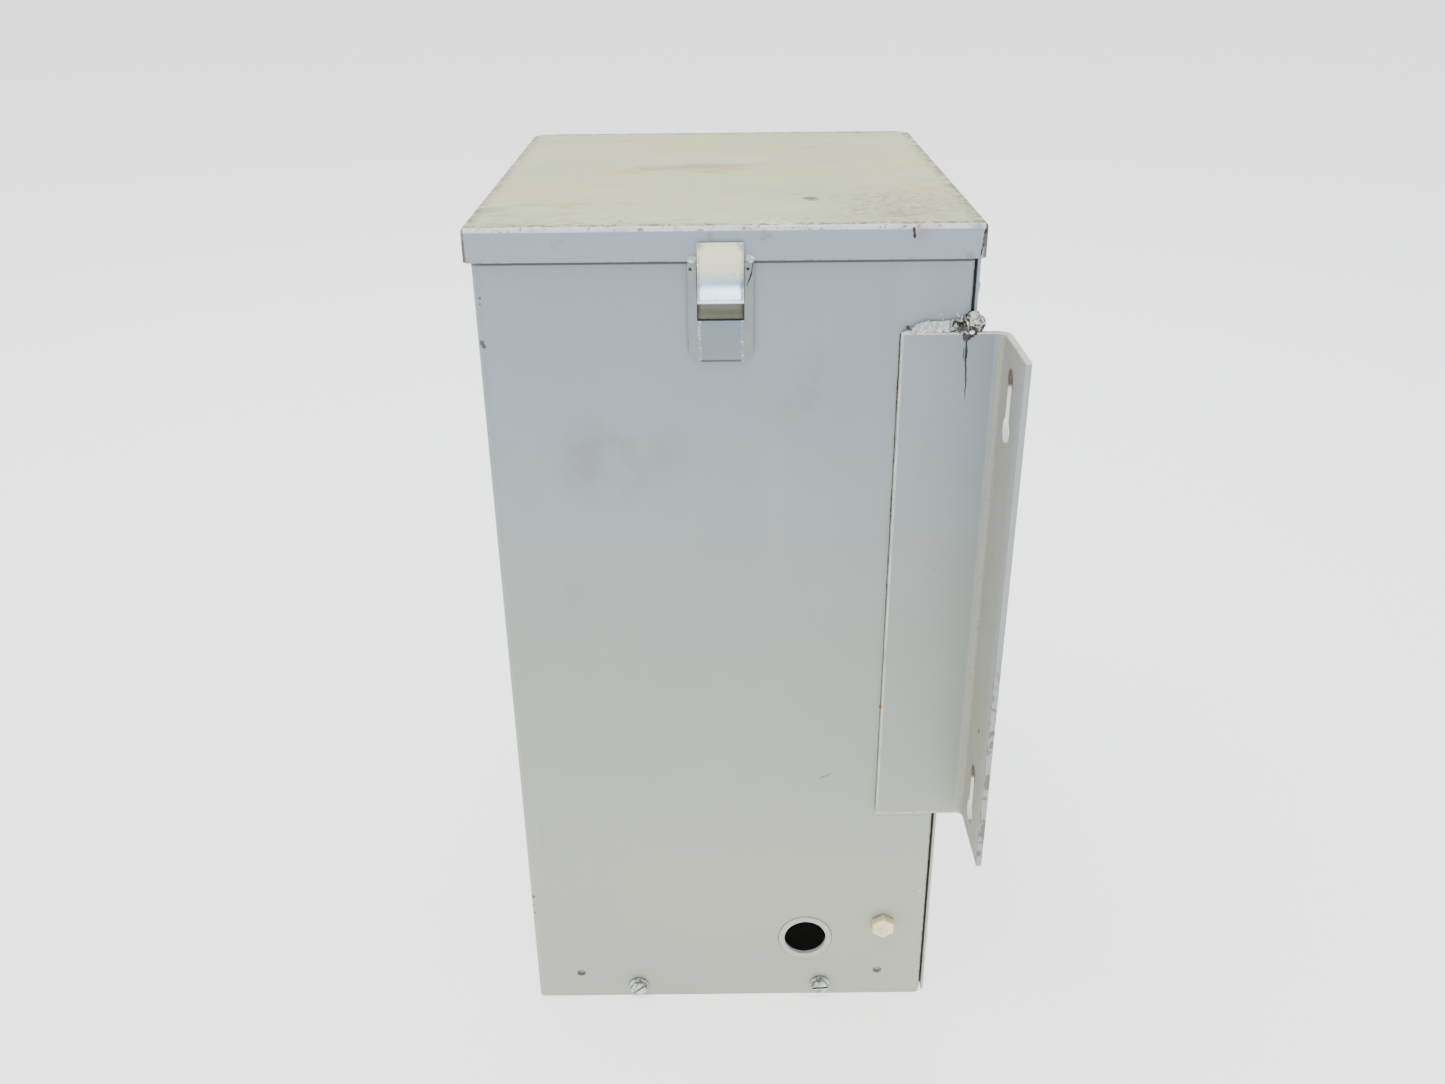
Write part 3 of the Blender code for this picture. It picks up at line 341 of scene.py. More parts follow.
def angle_marks(graph, tone):
    """Warm grime with some painted shade on the flange, painted highlights along the fold and the cut edges,
    and rust in the tops of the keyholes.
    """
    out = graph.math("SUBTRACT", graph.math("ABSOLUTE", graph.x), SIDE_X)
    # Warm grime with painted shade: the flange is tinted darker and warmer, from over the bend, to tone down
    # its bright fillet.
    flange = graph.span(graph.y, FLANGE_Y, FLANGE_Y + 0.0012)
    tone = graph.tint(tone, flange, 0.85, (0.295, 0.29, 0.238))
    # Painted highlight: a pale line along the fold.
    crease = graph.band(graph.y, FLANGE_Y - 0.0007, FLANGE_Y - 0.0001, 0.0006)
    tone = graph.tint(tone, crease, 0.22, (0.46, 0.47, 0.45))
    fold = graph.times(flange, graph.fall(out, 0.014, 0.026))
    tone = graph.dab(tone, fold, 380, 0.58, 0.66, 0.45, GRIME)
    tone = graph.dab(tone, fold, 420, 0.58, 0.66, 0.35, (0.48, 0.48, 0.39))
    tone = graph.mix(graph.span(out, 0.031, 0.04, 0.0, 0.55), tone, (0.33, 0.36, 0.39))
    rim = graph.times(graph.span(out, 0.0402, 0.042), graph.fall(graph.z, 0.205, 0.255))
    tone = graph.dab(tone, rim, 230, 0.52, 0.58, 0.8, (0.11, 0.09, 0.06))
    # Painted highlight: pale on the keyholes' inner walls that face out along X.
    faces_out = graph.span(graph.math("ABSOLUTE", graph.facing(0)), 0.25, 0.55)
    cut_edge = graph.times(faces_out, graph.times(flange, graph.span(out, 0.012, 0.0135)))
    hole_wall_highlight = graph.times(cut_edge, graph.fall(out, 0.034, 0.036))
    tone = graph.tint(tone, hole_wall_highlight, 0.95, (0.74, 0.73, 0.67))
    # Painted highlight: cream along the top cut edge.
    top = graph.span(graph.z, ANGLE_HIGH.z - 0.0009, ANGLE_HIGH.z - 0.0004)
    tone = graph.dab(tone, top, 120, 0.15, 0.5, 0.9, CREAM)
    # Painted highlight: cream along the leg's front edge.
    leg_edge_highlight = graph.fall(graph.y, ANGLE_LOW.y + 0.0005, ANGLE_LOW.y + 0.001)
    tone = graph.dab(tone, leg_edge_highlight, 90, 0.25, 0.6, 0.8, CREAM)
    for z in KEYHOLE_TOPS:
        for sign in (-1, 1):
            spot = graph.near((sign * (SIDE_X + KEYHOLE_OUT), ANGLE_HIGH.y - 0.002, z), 0.004, 0.0018)
            tone = graph.dab(tone, spot, 330, 0.22, 0.42, 0.97, (0.07, 0.036, 0.02))
    bottom = graph.span(graph.z, ANGLE_LOW.z + 0.0016, ANGLE_LOW.z, 0.0, 1.0)
    return graph.dab(tone, bottom, 240, 0.36, 0.52, 0.6, CREAM)


def tongue_marks(graph, tone):
    """Beige dirt on the two flanks of the catch's channel, pale specks along the creases, and a painted
    shadow line along its foot.
    """
    aside = graph.apart(graph.y, CATCH_Y)
    flank = graph.span(aside, 0.0086, 0.0098)
    tone = graph.mix(graph.span(aside, 0.008, 0.009, 0.8, 0.0), tone, (0.17, 0.215, 0.256))
    tone = graph.tint(tone, flank, 0.75, (0.2, 0.222, 0.235))
    tone = graph.dab(tone, flank, 210, 0.5, 0.62, 0.45, (0.3, 0.28, 0.235))
    crease = graph.times(graph.span(aside, 0.008, 0.0086), graph.fall(aside, 0.0092, 0.0098))
    tone = graph.dab(tone, crease, 620, 0.53, 0.6, 0.9, (0.62, 0.62, 0.57))
    # Painted shadow: a dark line along the foot of the channel, where it stands off the wall.
    foot = graph.times(graph.span(graph.z, TONGUE_LOW.z + 0.0011, TONGUE_LOW.z + 0.0006, 0.0, 1.0),
                       graph.fall(aside, 0.0082, 0.0092))
    return graph.dab(tone, foot, 90, 0.2, 0.42, 0.9, (0.045, 0.05, 0.055))


def door_marks(graph, tone):
    """Hand grime and scuffs round the latch, and thin rust runs under the hinge leaves."""
    outside = graph.span(graph.y, DOOR_LOW.y + 0.0016, DOOR_LOW.y + 0.0008)
    low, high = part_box("door_latch_knob")
    by_knob = ((low.x + high.x) / 2 + 0.004, DOOR_LOW.y, (low.z + high.z) / 2 - 0.004)
    hand = graph.times(graph.near(by_knob, 0.014, 0.03), outside)
    tone = graph.dab(tone, hand, 75, 0.34, 0.7, 0.34, GRIME)
    arcs = graph.times(scratches(graph, (0.0, 0.9, 0.0), 1.3), hand)
    tone = graph.tint(tone, arcs, 0.8, (0.6, 0.6, 0.56))
    for tag in ("lower", "upper"):
        low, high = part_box(f"door_hinge_{tag}_door_leaf")
        fading = graph.times(graph.span(graph.z, low.z - 0.045, low.z),
                             graph.fall(graph.z, low.z, low.z + 0.002))
        below = graph.times(graph.band(graph.x, low.x + 0.006, high.x - 0.002, 0.004), fading)
        runs = graph.span(graph.streaks((420, 420, 9)), 0.52, 0.66)
        below = graph.times(graph.times(below, runs), outside)
        tone = graph.tint(tone, below, 0.42, (0.24, 0.14, 0.07))
    foot = graph.times(graph.span(graph.z, DOOR_LOW.z + 0.03, DOOR_LOW.z), outside)
    return graph.dab(tone, foot, 34, 0.4, 0.66, 0.3, GRIME)


def ring_marks(graph, tone):
    """The knockout's last ring: chalky pink-beige, with darker patches."""
    tone = graph.mix(0.75, tone, (0.5, 0.465, 0.43))
    return graph.patches(tone, 420, 4.0, 0.5, 0.62, 0.5, (0.36, 0.34, 0.3))


def make_lid_enamel():
    """Cream-green weathered top; the skirt is cleaner and matches the box's blue-grey."""
    graph = Graph("lid_enamel_weathered")
    up = graph.upward()
    weather = graph.noise(13, 5.0, 0.6)
    top = graph.mix(graph.span(weather, 0.36, 0.68), (0.53, 0.555, 0.33), (0.62, 0.627, 0.385))
    ochre = graph.streaks((16, 8, 8), 4.0, distort=0.4)
    top = graph.mix(graph.span(ochre, 0.44, 0.66, 0.0, 0.75), top, (0.64, 0.54, 0.3))
    brown = graph.streaks((34, 15, 15), 5.0, 0.65, shift=(3, 1, 2), distort=0.5)
    top = graph.mix(graph.span(brown, 0.55, 0.7, 0.0, 0.55), top, (0.31, 0.255, 0.155))
    skirt = graph.patches((0.25, 0.298, 0.352), 9, 4.0, 0.35, 0.75, 0.2, (0.22, 0.253, 0.285))
    tone = graph.mix(up, skirt, top)
    front = graph.span(graph.x, LID_HIGH.x - 0.034, LID_HIGH.x - 0.002)
    rubbed = graph.times(graph.span(graph.noise(120, 6.0, 0.7), 0.5, 0.62), graph.times(front, up))
    tone = graph.tint(tone, rubbed, 0.5, LID_BROWN)
    right = graph.times(graph.near((0.085, 0.075, LID_HIGH.z), 0.016, 0.03), up)
    tone = graph.dab(tone, right, 260, 0.38, 0.68, 0.75, LID_BROWN)
    back = graph.times(graph.fall(graph.x, LID_LOW.x + 0.001, LID_LOW.x + 0.01), up)
    tone = graph.dab(tone, back, 150, 0.42, 0.54, 0.8, (0.22, 0.18, 0.12))
    marks = graph.math("ADD", scratches(graph, (0, 0, 0.9), 0.8), scratches(graph, (0, 0, -0.5)), True)
    strength = graph.math("ADD", graph.times(right, 0.5), 0.35)
    tone = graph.tint(tone, marks, strength, (0.7, 0.7, 0.6))
    ends = graph.span(graph.math("ABSOLUTE", graph.y), LID_HIGH.y - 0.008, LID_HIGH.y - 0.0008)
    tone = graph.dab(tone, graph.times(ends, up), 230, 0.42, 0.54, 0.85, (0.2, 0.165, 0.105))
    pits = graph.fall(graph.cells(140), 0.035, 0.07)
    pits = graph.times(pits, graph.span(graph.noise(21, 2.0), 0.5, 0.62))
    tone = graph.tint(tone, pits, 0.6, GRIME)
    for x, y, size, strength in LID_SPOTS:
        spot = graph.times(graph.near((x, y, LID_HIGH.z), size, size * 1.3), up)
        tone = graph.dab(tone, spot, 330, 0.3, 0.48, strength, (0.115, 0.12, 0.11))
    # Painted highlight and chalky wear: a lavender-white band along the rolled front edge, with brown specks
    # on it.
    rolled_highlight_and_wear = graph.times(graph.span(graph.z, LID_HIGH.z - 0.0022, LID_HIGH.z - 0.0014),
                         graph.span(graph.x, LID_HIGH.x - 0.0016, LID_HIGH.x - 0.001))
    tone = graph.dab(tone, rolled_highlight_and_wear, 70, 0.2, 0.5, 0.9, (0.7, 0.69, 0.7))
    tone = graph.dab(tone, rolled_highlight_and_wear, 460, 0.58, 0.64, 0.85, (0.2, 0.15, 0.09))
    line = graph.times(graph.span(graph.x, LID_HIGH.x - 0.008, LID_HIGH.x - 0.0035),
                       graph.fall(graph.x, LID_HIGH.x - 0.0017, LID_HIGH.x - 0.001))
    line = graph.times(line, up)
    tone = graph.dab(tone, line, 380, 0.46, 0.56, 0.85, (0.17, 0.125, 0.07))
    scraped = graph.times(graph.near((LID_HIGH.x - 0.004, 0.021, LID_HIGH.z), 0.004, 0.01), up)
    tone = graph.dab(tone, scraped, 260, 0.48, 0.56, 0.9, (0.8, 0.79, 0.7))
    for y, z, size in LID_STAINS:
        stain = graph.near((LID_HIGH.x, y, z), size, size * 2.2)
        tone = graph.dab(tone, stain, 300, 0.36, 0.6, 0.5, (0.25, 0.17, 0.1))
    for y in (LID_LOW.y, LID_HIGH.y):
        corner = graph.fall(graph.apart(graph.y, y), 0.0006, 0.0016)
        corner = graph.times(corner, graph.span(graph.math("ABSOLUTE", graph.x), 0.1195, 0.1215))
        tone = graph.dab(tone, corner, 190, 0.38, 0.52, 0.8, (0.085, 0.065, 0.045))
    chips = edge_wear(graph, 0.0013, 0.70)
    under = graph.patches(BARE_STEEL, 260, 3.0, 0.42, 0.58, 1.0, RUST)
    tone = graph.tint(tone, chips, 0.9, under)
    gloss = graph.math("SUBTRACT", graph.drift(30, 4.0, 0.46, 0.64), graph.times(rolled_highlight_and_wear, 0.2))
    return graph.finish(tone, gloss, sheet_bump(graph, chips), Specular_IOR_Level=0.42)


def make_metal(name, bright, dull, rough, grain, stain=None, marks=None, bend=0.0):
    """Plated or bare metal with fine scuffs, cloudy tarnish and a directional grain."""
    graph = Graph(name)
    cloud = graph.noise(55, 5.0, 0.6)
    tone = graph.mix(graph.span(cloud, 0.38, 0.66), bright, dull)
    if stain:
        spots = graph.span(graph.noise(240, 4.0, 0.6), 0.6, 0.7)
        tone = graph.tint(tone, spots, 0.7, stain)
    streaks = graph.streaks(grain)
    gloss = graph.math("ADD", graph.span(cloud, 0.3, 0.7, rough - 0.06, rough + 0.1),
                       graph.span(streaks, 0.3, 0.7, -0.05, 0.05))
    polish = graph.edges(0.0005)
    tone = graph.tint(tone, polish, 0.35, tuple(min(1, c * 1.25) for c in bright))
    metallic = 1.0
    if marks:
        tone, gloss, metallic = marks(graph, tone, gloss)
    fine = graph.bump(streaks, 0.00004, 0.5, graph.rounded(bend) if bend else None)
    return graph.finish(tone, gloss, graph.bump(cloud, 0.00012, 0.4, fine), metallic)


def clip_marks(graph, tone, gloss):
    """The catch's spring: dull and cream above, polished on its flare, whose blue base colour is a painted
    reflection, with painted highlights along its bottom and side edges, and olive painted shade on the leg
    inside the window.
    """
    high = graph.span(graph.z, 0.395, 0.403)
    tone = graph.tint(tone, high, 0.9, (0.86, 0.83, 0.58))
    gloss = graph.math("ADD", gloss, graph.times(high, 0.22))
    # Painted highlight: near white along the bottom edge of the flare.
    lip = graph.span(graph.z, CLIP_END_Z + 0.0003, CLIP_END_Z + 0.0014, 0.9, 0.0)
    tone = graph.mix(lip, tone, (0.93, 0.95, 0.97))
    aside = graph.apart(graph.y, CATCH_Y)
    rim = graph.span(aside, 0.0082, 0.0092)
    tone = graph.dab(tone, rim, 330, 0.46, 0.58, 0.75, (0.24, 0.21, 0.13))
    # Painted highlight: near white along the outermost side edges.
    tone = graph.mix(graph.span(aside, 0.0089, 0.0092, 0.0, 0.8), tone, (0.97, 0.97, 0.95))
    for side in (-1, 1):
        place = (SIDE_X + 0.0055, CATCH_Y + side * 0.0088, CLIP_HIGH.z - 0.0006)
        corner = graph.near(place, 0.0008, 0.003)
        tone = graph.dab(tone, corner, 520, 0.36, 0.56, 0.75, (0.22, 0.185, 0.1))
    spots = graph.fall(graph.cells(520), 0.1, 0.2)
    spots = graph.times(spots, graph.span(graph.noise(95, 2.0), 0.52, 0.6))
    tone = graph.tint(tone, spots, 0.7, (0.3, 0.26, 0.16))
    # Painted shade: the leg inside the window is dark olive, as it lies in shade under the flare.
    inner_shade = graph.times(graph.fall(graph.x, SIDE_X + 0.0034, SIDE_X + 0.004),
                        graph.fall(graph.z, 0.4, 0.401))
    tone = graph.tint(tone, inner_shade, 0.97, (0.095, 0.093, 0.06))
    gloss = graph.math("ADD", gloss, graph.times(inner_shade, 0.3))
    # Less metallic on the cream top and on the leg's painted shade.
    painted = graph.math("MAXIMUM", graph.times(high, 0.35), graph.times(inner_shade, 0.9))
    return tone, gloss, graph.math("SUBTRACT", 1.0, painted)


def screw_marks(graph, tone, gloss):
    """Base screws: plating mottled with dark patches that are painted reflections of a darker room, yellow in
    patches, and black painted contact shadow with grime where the washer meets the wall.
    """
    # Painted reflection: dark patches stand in for the darker room mirrored in the plating.
    tone = graph.patches(tone, 420, 3.0, 0.5, 0.6, 0.75, (0.17, 0.18, 0.17))
    tone = graph.patches(tone, 330, 2.0, 0.56, 0.66, 0.7, (0.62, 0.6, 0.36))
    out = graph.math("SUBTRACT", graph.math("ABSOLUTE", graph.x), SIDE_X)
    # Painted contact shadow with grime: black where the washer meets the wall.
    foot = graph.span(out, 0.0012, 0.0004, 0.0, 0.9)
    tone = graph.mix(foot, tone, (0.05, 0.05, 0.045))
    return tone, gloss, graph.span(out, 0.0004, 0.0012, 0.2, 1.0)


def bolt_marks(graph, tone, gloss):
    """Yellowed zinc on the bolt, brown in the middle of its head, and a painted contact shadow with grime at
    its foot.
    """
    centre = graph.near((SIDE_X + 0.0047, BOLT_Y, BOLT_Z), 0.0012, 0.0026)
    tone = graph.dab(tone, centre, 700, 0.4, 0.6, 0.45, (0.5, 0.34, 0.2))
    # Painted contact shadow with grime: the bolt darkens where it meets the wall.
    foot = graph.span(graph.x, SIDE_X + 0.0012, SIDE_X + 0.0004, 0.0, 1.0)
    tone = graph.tint(tone, foot, 0.7, GRIME)
    return tone, gloss, 0.55


def make_plastic(name, tone, pale, rough, coat=0.0):
    """Moulded plastic: fine spark texture, dust in patches, paler rubbed edges."""
    graph = Graph(name)
    dust = graph.span(graph.noise(38, 5.0, 0.6), 0.46, 0.72, 0.0, 0.22)
    colour = graph.mix(dust, tone, pale)
    rubbed = graph.times(graph.edges(0.0007), graph.span(graph.noise(190, 3.0), 0.42, 0.6))
    colour = graph.tint(colour, rubbed, 0.45, pale)
    grain = graph.noise(1900, 2.0, 0.6)
    gloss = graph.math("ADD", graph.drift(70, 3.0, rough - 0.05, rough + 0.08), dust)
    return graph.finish(colour, gloss, graph.bump(grain, 0.00007, 0.5), Coat_Weight=coat)


def make_laminate():
    """Red fibre board with a fine upright weave."""
    graph = Graph("insulator_laminate")
    weave = graph.streaks((900, 900, 140))
    tone = graph.mix(graph.span(weave, 0.35, 0.65), (0.24, 0.055, 0.032), (0.34, 0.095, 0.055))
    tone = graph.patches(tone, 30, 4.0, 0.5, 0.75, 0.3, (0.42, 0.3, 0.24))
    return graph.finish(tone, graph.drift(80, 3.0, 0.46, 0.62), graph.bump(weave, 0.00006, 0.5))


def make_foam():
    """Black foam strip, open-pored and matt."""
    graph = Graph("gasket_foam")
    pores = graph.cells(1500)
    tone = graph.mix(graph.span(pores, 0.1, 0.6), (0.012, 0.012, 0.013), (0.045, 0.045, 0.047))
    return graph.finish(tone, graph.drift(50, 2.0, 0.8, 0.95), graph.bump(pores, 0.0002, 0.8))


def make_burnt():
    """Weld slag: a cream ash crust split by black glassy cracks."""
    graph = Graph("burnt_slag")
    crust = graph.noise(230, 5.0, 0.65, distort=1.2)
    tone = graph.mix(graph.span(crust, 0.47, 0.53), (0.014, 0.012, 0.01), (0.5, 0.5, 0.42))
    ash = graph.span(graph.noise(600, 4.0, 0.7), 0.46, 0.6)
    tone = graph.mix(graph.times(ash, graph.span(crust, 0.49, 0.56)), tone, (0.78, 0.78, 0.72))
    foot = graph.span(graph.z, ANGLE_HIGH.z + 0.0035, ANGLE_HIGH.z + 0.001)
    tone = graph.dab(tone, foot, 240, 0.42, 0.5, 0.92, (0.02, 0.015, 0.01))
    gloss = graph.span(crust, 0.35, 0.65, 0.22, 0.75)
    return graph.finish(tone, gloss, graph.bump(crust, 0.0007, 1.0))


def make_weld_paint():
    """Enamel sprayed over a rough weld: lighter on the lumps' tops and darker in the hollows as painted light
    and shade, near-white painted highlights, and patches of grime.
    """
    graph = Graph("enamel_over_weld")
    lumps = graph.noise(430, 5.0, 0.65)
    # Painted light and shade: lighter where the weld's lumps stand high, darker in the hollows.
    tone = graph.mix(graph.span(lumps, 0.42, 0.58), (0.33, 0.36, 0.365), (0.53, 0.57, 0.59))
    # Painted highlights: near-white flecks on the bead.
    tone = graph.patches(tone, 760, 3.0, 0.56, 0.64, 1.0, (0.85, 0.87, 0.86))
    tone = graph.patches(tone, 260, 3.0, 0.64, 0.72, 0.7, GRIME)
    gloss = graph.span(lumps, 0.3, 0.7, 0.18, 0.42)
    return graph.finish(tone, gloss, graph.bump(lumps, 0.0004, 0.9), Specular_IOR_Level=0.65)


def make_flat(name, first, second, rough):
    """A plain speckled layer for cracks, painted shadow in gaps, chips and stains."""
    graph = Graph(name)
    tone = graph.patches(first, 800, 3.0, 0.4, 0.6, 1.0, second)
    gloss = graph.drift(300, 2.0, rough, rough + 0.15)
    return graph.finish(tone, gloss, graph.bump(graph.noise(900, 2.0), 0.0001, 0.5))


ZINC_GRAIN = (300, 40, 300)
METALS = (
    ("zinc", "zinc_plate", (0.6, 0.63, 0.63), (0.38, 0.4, 0.39), 0.22, ZINC_GRAIN, (0.26, 0.23, 0.15)),
    ("steel", "hinge_steel", (0.56, 0.55, 0.53), (0.36, 0.35, 0.33), 0.34, (60, 300, 60), (0.22, 0.12, 0.06)),
    ("copper", "bus_copper", (0.8, 0.44, 0.27), (0.46, 0.24, 0.14), 0.3, (420, 420, 12), (0.2, 0.12, 0.08)),
    ("aluminium", "lug_aluminium", (0.82, 0.83, 0.84), (0.62, 0.63, 0.65), 0.34, (30, 380, 380)),
)
FINISHES = {
    "panel_enamel": make_panel_enamel("panel_enamel_worn"),
    "lid_enamel": make_lid_enamel(),
    "black_plastic": make_plastic("breaker_plastic", (0.022, 0.022, 0.024), (0.16, 0.155, 0.15), 0.46),
    "handle_plastic": make_plastic("handle_plastic_gloss", (0.035, 0.035, 0.038), (0.2, 0.19, 0.18), 0.3,
                                   coat=0.15),
    "insulator": make_laminate(),
    "gasket_rubber": make_foam(),
}
for slot_name, *look in METALS:
    FINISHES[slot_name] = make_metal(*look)
# Nodes whose own marks set them apart from the rest of their finish.
OWN_METALS = (
    # The clip's strong blue base colour is a painted reflection of a bluish sky on its flare.
    ("catch_clip", "clip_zinc", (0.5, 0.72, 0.98), (0.45, 0.66, 0.92), 0.26, clip_marks, 0.003),
    ("base_screw", "screw_zinc", (0.52, 0.56, 0.58), (0.3, 0.32, 0.32), 0.2, screw_marks, 0.0),
    ("ground_bolt", "bolt_zinc", (0.82, 0.7, 0.43), (0.7, 0.58, 0.35), 0.36, bolt_marks, 0.0),
)
OWN_FINISHES = {
    "body_shell": make_panel_enamel("body_enamel", wall_marks),
    "mounting_angle_near": make_panel_enamel("angle_enamel", angle_marks, 0.3),
    "catch_tongue": make_panel_enamel("tongue_enamel", tongue_marks, 0.2, 0.15),
    "door": make_panel_enamel("door_enamel", door_marks, 0.5, 0.4),
    "knockout_ring": make_panel_enamel("ring_enamel", ring_marks, 0.45),
}
for node_name, title, bright, dull, rough, marks, bend in OWN_METALS:
    OWN_FINISHES[node_name] = make_metal(title, bright, dull, rough, ZINC_GRAIN, marks=marks, bend=bend)
OWN_FINISHES["mounting_angle_far"] = OWN_FINISHES["mounting_angle_near"]
BURNT = make_burnt()
WELD_PAINT = make_weld_paint()
DARK = make_flat("crack_shadow", (0.01, 0.01, 0.012), (0.05, 0.045, 0.04), 0.7)
CHIP_LIGHT = make_flat("chip_primer", (0.6, 0.6, 0.54), (0.82, 0.82, 0.78), 0.6)
# Dark brown painted shadow with grime for the gaps along the angle's leg and in the skirt's split corner.
GAP_SHADE = make_flat("gap_shadow", (0.02, 0.018, 0.014), (0.11, 0.095, 0.07), 0.75)
RUST_SPOT = make_flat("seam_rust", (0.16, 0.07, 0.03), (0.4, 0.22, 0.1), 0.7)


def dress_frame():
    """Give every CAD node its finish, and break the sharp edges of the parts named in the rounding table a
    little.
    """
    rounding = {
        "breaker": 0.0006, "screw": 0.00018, "ground_": 0.00025, "door_latch": 0.0003,
        "bus_bar": 0.0003, "main_lug": 0.0005, "neutral": 0.0003, "catch_clip": 0.00022,
    }
    slots = {row["node"]: row["material_slot"] for row in frame["record"]["subparts"]}
    for name, node in NODES.items():
        node.data.materials.clear()
        finish_name = "base_screw" if name.startswith("base_screw") else name
        node.data.materials.append(OWN_FINISHES.get(finish_name, FINISHES[slots[name]]))
        width = next((value for key, value in rounding.items() if key in name), 0)
        if width:
            weld = node.modifiers.new("weld", "WELD")
            weld.merge_threshold = 0.00001
            bevel = node.modifiers.new("edges", "BEVEL")
            bevel.width = width
            bevel.segments = 2
            bevel.limit_method = "ANGLE"
            bevel.angle_limit = math.radians(38)


# ---- mesh pieces
def new_object(name, data):
    """An object with this data, linked into the scene."""
    made = bpy.data.objects.new(name, data)
    bpy.context.scene.collection.objects.link(made)
    return made


def add_piece(name, mesh_data, material, body="box", smooth=True):
    """Turn a bmesh into a piece that rides on a body."""
    bmesh.ops.recalc_face_normals(mesh_data, faces=mesh_data.faces)
    mesh = bpy.data.meshes.new(name)
    mesh_data.to_mesh(mesh)
    mesh_data.free()
    if smooth:
        mesh.shade_smooth()
        mesh.set_sharp_from_angle(angle=math.radians(50))
    mesh.materials.append(material)
    piece = new_object(name, mesh)
    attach(piece, body)
    return piece


def turns(sides):
    """Angles of evenly spaced corners round a ring."""
    return [2 * math.pi * index / sides for index in range(sides)]


def skin(mesh, rings, ends=True):
    """Walls between rings of corners, and a face over each end."""
    if ends:
        mesh.faces.new(rings[0][::-1])
        mesh.faces.new(rings[-1])
    for before, after in zip(rings, rings[1:]):
        for index, corner in enumerate(before):
            turn = (index + 1) % len(before)
            mesh.faces.new((corner, before[turn], after[turn], after[index]))


def bead(name, start, end, radius, seed, ripple):
    """A painted weld bead: a closed tube along a line with overlapping ripples and lumps."""
    start, end = Vector(start), Vector(end)
    along = (end - start).normalized()
    side = along.orthogonal().normalized()
    over = along.cross(side)
    length = (end - start).length
    steps = max(12, int(length / 0.0005))
    mesh = bmesh.new()
    rings = []
    for step in range(steps + 1):
        t = step / steps
        taper = min(1.0, 4.5 * min(t, 1 - t) + 0.25)
        wave = 1 + 0.16 * abs(math.sin(math.pi * length * t / ripple))
        centre = start.lerp(end, t)
        ring = []
        for angle in turns(14):
            ray = math.cos(angle) * side + math.sin(angle) * over
            swell = noise.noise((centre + ray * radius) * 600 + Vector((seed, 0, 0)))
            reach = radius * taper * wave * (0.75 + 0.38 * swell)
            ring.append(mesh.verts.new(centre + ray * reach))
        rings.append(ring)
    skin(mesh, rings)
    add_piece(name, mesh, WELD_PAINT)


def lump(name, centre, radii, material, seed, rough, detail, grain, body="box"):
    """A rough blob: a fine icosphere pushed in and out by layered noise."""
    mesh = bmesh.new()
    bmesh.ops.create_icosphere(mesh, subdivisions=detail, radius=1.0)
    centre, radii = Vector(centre), Vector(radii)
    for vertex in mesh.verts:
        ray = vertex.co.normalized()
        place = centre + ray * radii
        wide = noise.noise(place * grain + Vector((seed, 0, 0)))
        fine = noise.noise(place * grain * 3.1 + Vector((0, seed, 0)))
        reach = 1 + rough * wide + rough * 0.45 * fine
        vertex.co = centre + ray * reach * radii
    add_piece(name, mesh, material, body)


def ribbon(name, points, widths, lift, material, sign=1, body="box", slot="panel_enamel"):
    """A thin closed strip along points on a side wall, such as a crack or a scratch."""
    normal = Vector((sign, 0, 0))
    low = -normal * lift * 0.5
    high = normal * lift
    mesh = bmesh.new()
    rings = []
    for index, point in enumerate(points):
        before = points[max(index - 1, 0)]
        after = points[min(index + 1, len(points) - 1)]
        across = (after - before).normalized().cross(normal) * widths[index] / 2
        ring = [point - across + low, point + across + low]
        ring += [point + across * 0.6 + high, point - across * 0.6 + high]
        rings.append([mesh.verts.new(corner) for corner in ring])
    skin(mesh, rings)
    add_piece(name, mesh, material, body, smooth=False)


def wandering(start, end, steps, sway, seed):
    """Points from start to end that wander a little to each side."""
    random.seed(seed)
    start, end = Vector(start), Vector(end)
    across = (end - start).cross(Vector((1, 0, 0))).normalized()
    points = []
    for step in range(steps + 1):
        t = step / steps
        points.append(start.lerp(end, t) + across * random.uniform(-sway, sway) * (0 < step < steps))
    return points


def flake(name, centre, size, material, seed, body="box", normal=(1, 0, 0)):
    """A paint chip: a thin irregular plate lying on a surface."""
    random.seed(seed)
    centre, normal = Vector(centre), Vector(normal)
    side = normal.orthogonal().normalized()
    over = normal.cross(side)
    mesh = bmesh.new()
    rings = [[], []]
    for angle in turns(11):
        reach = size * random.uniform(0.45, 1.0)
        spot = centre + (math.cos(angle) * side + math.sin(angle) * over) * reach
        rings[0].append(mesh.verts.new(spot - normal * 0.00004))
        rings[1].append(mesh.verts.new(spot + normal * 0.00006))
    skin(mesh, rings)
    add_piece(name, mesh, material, body, smooth=False)


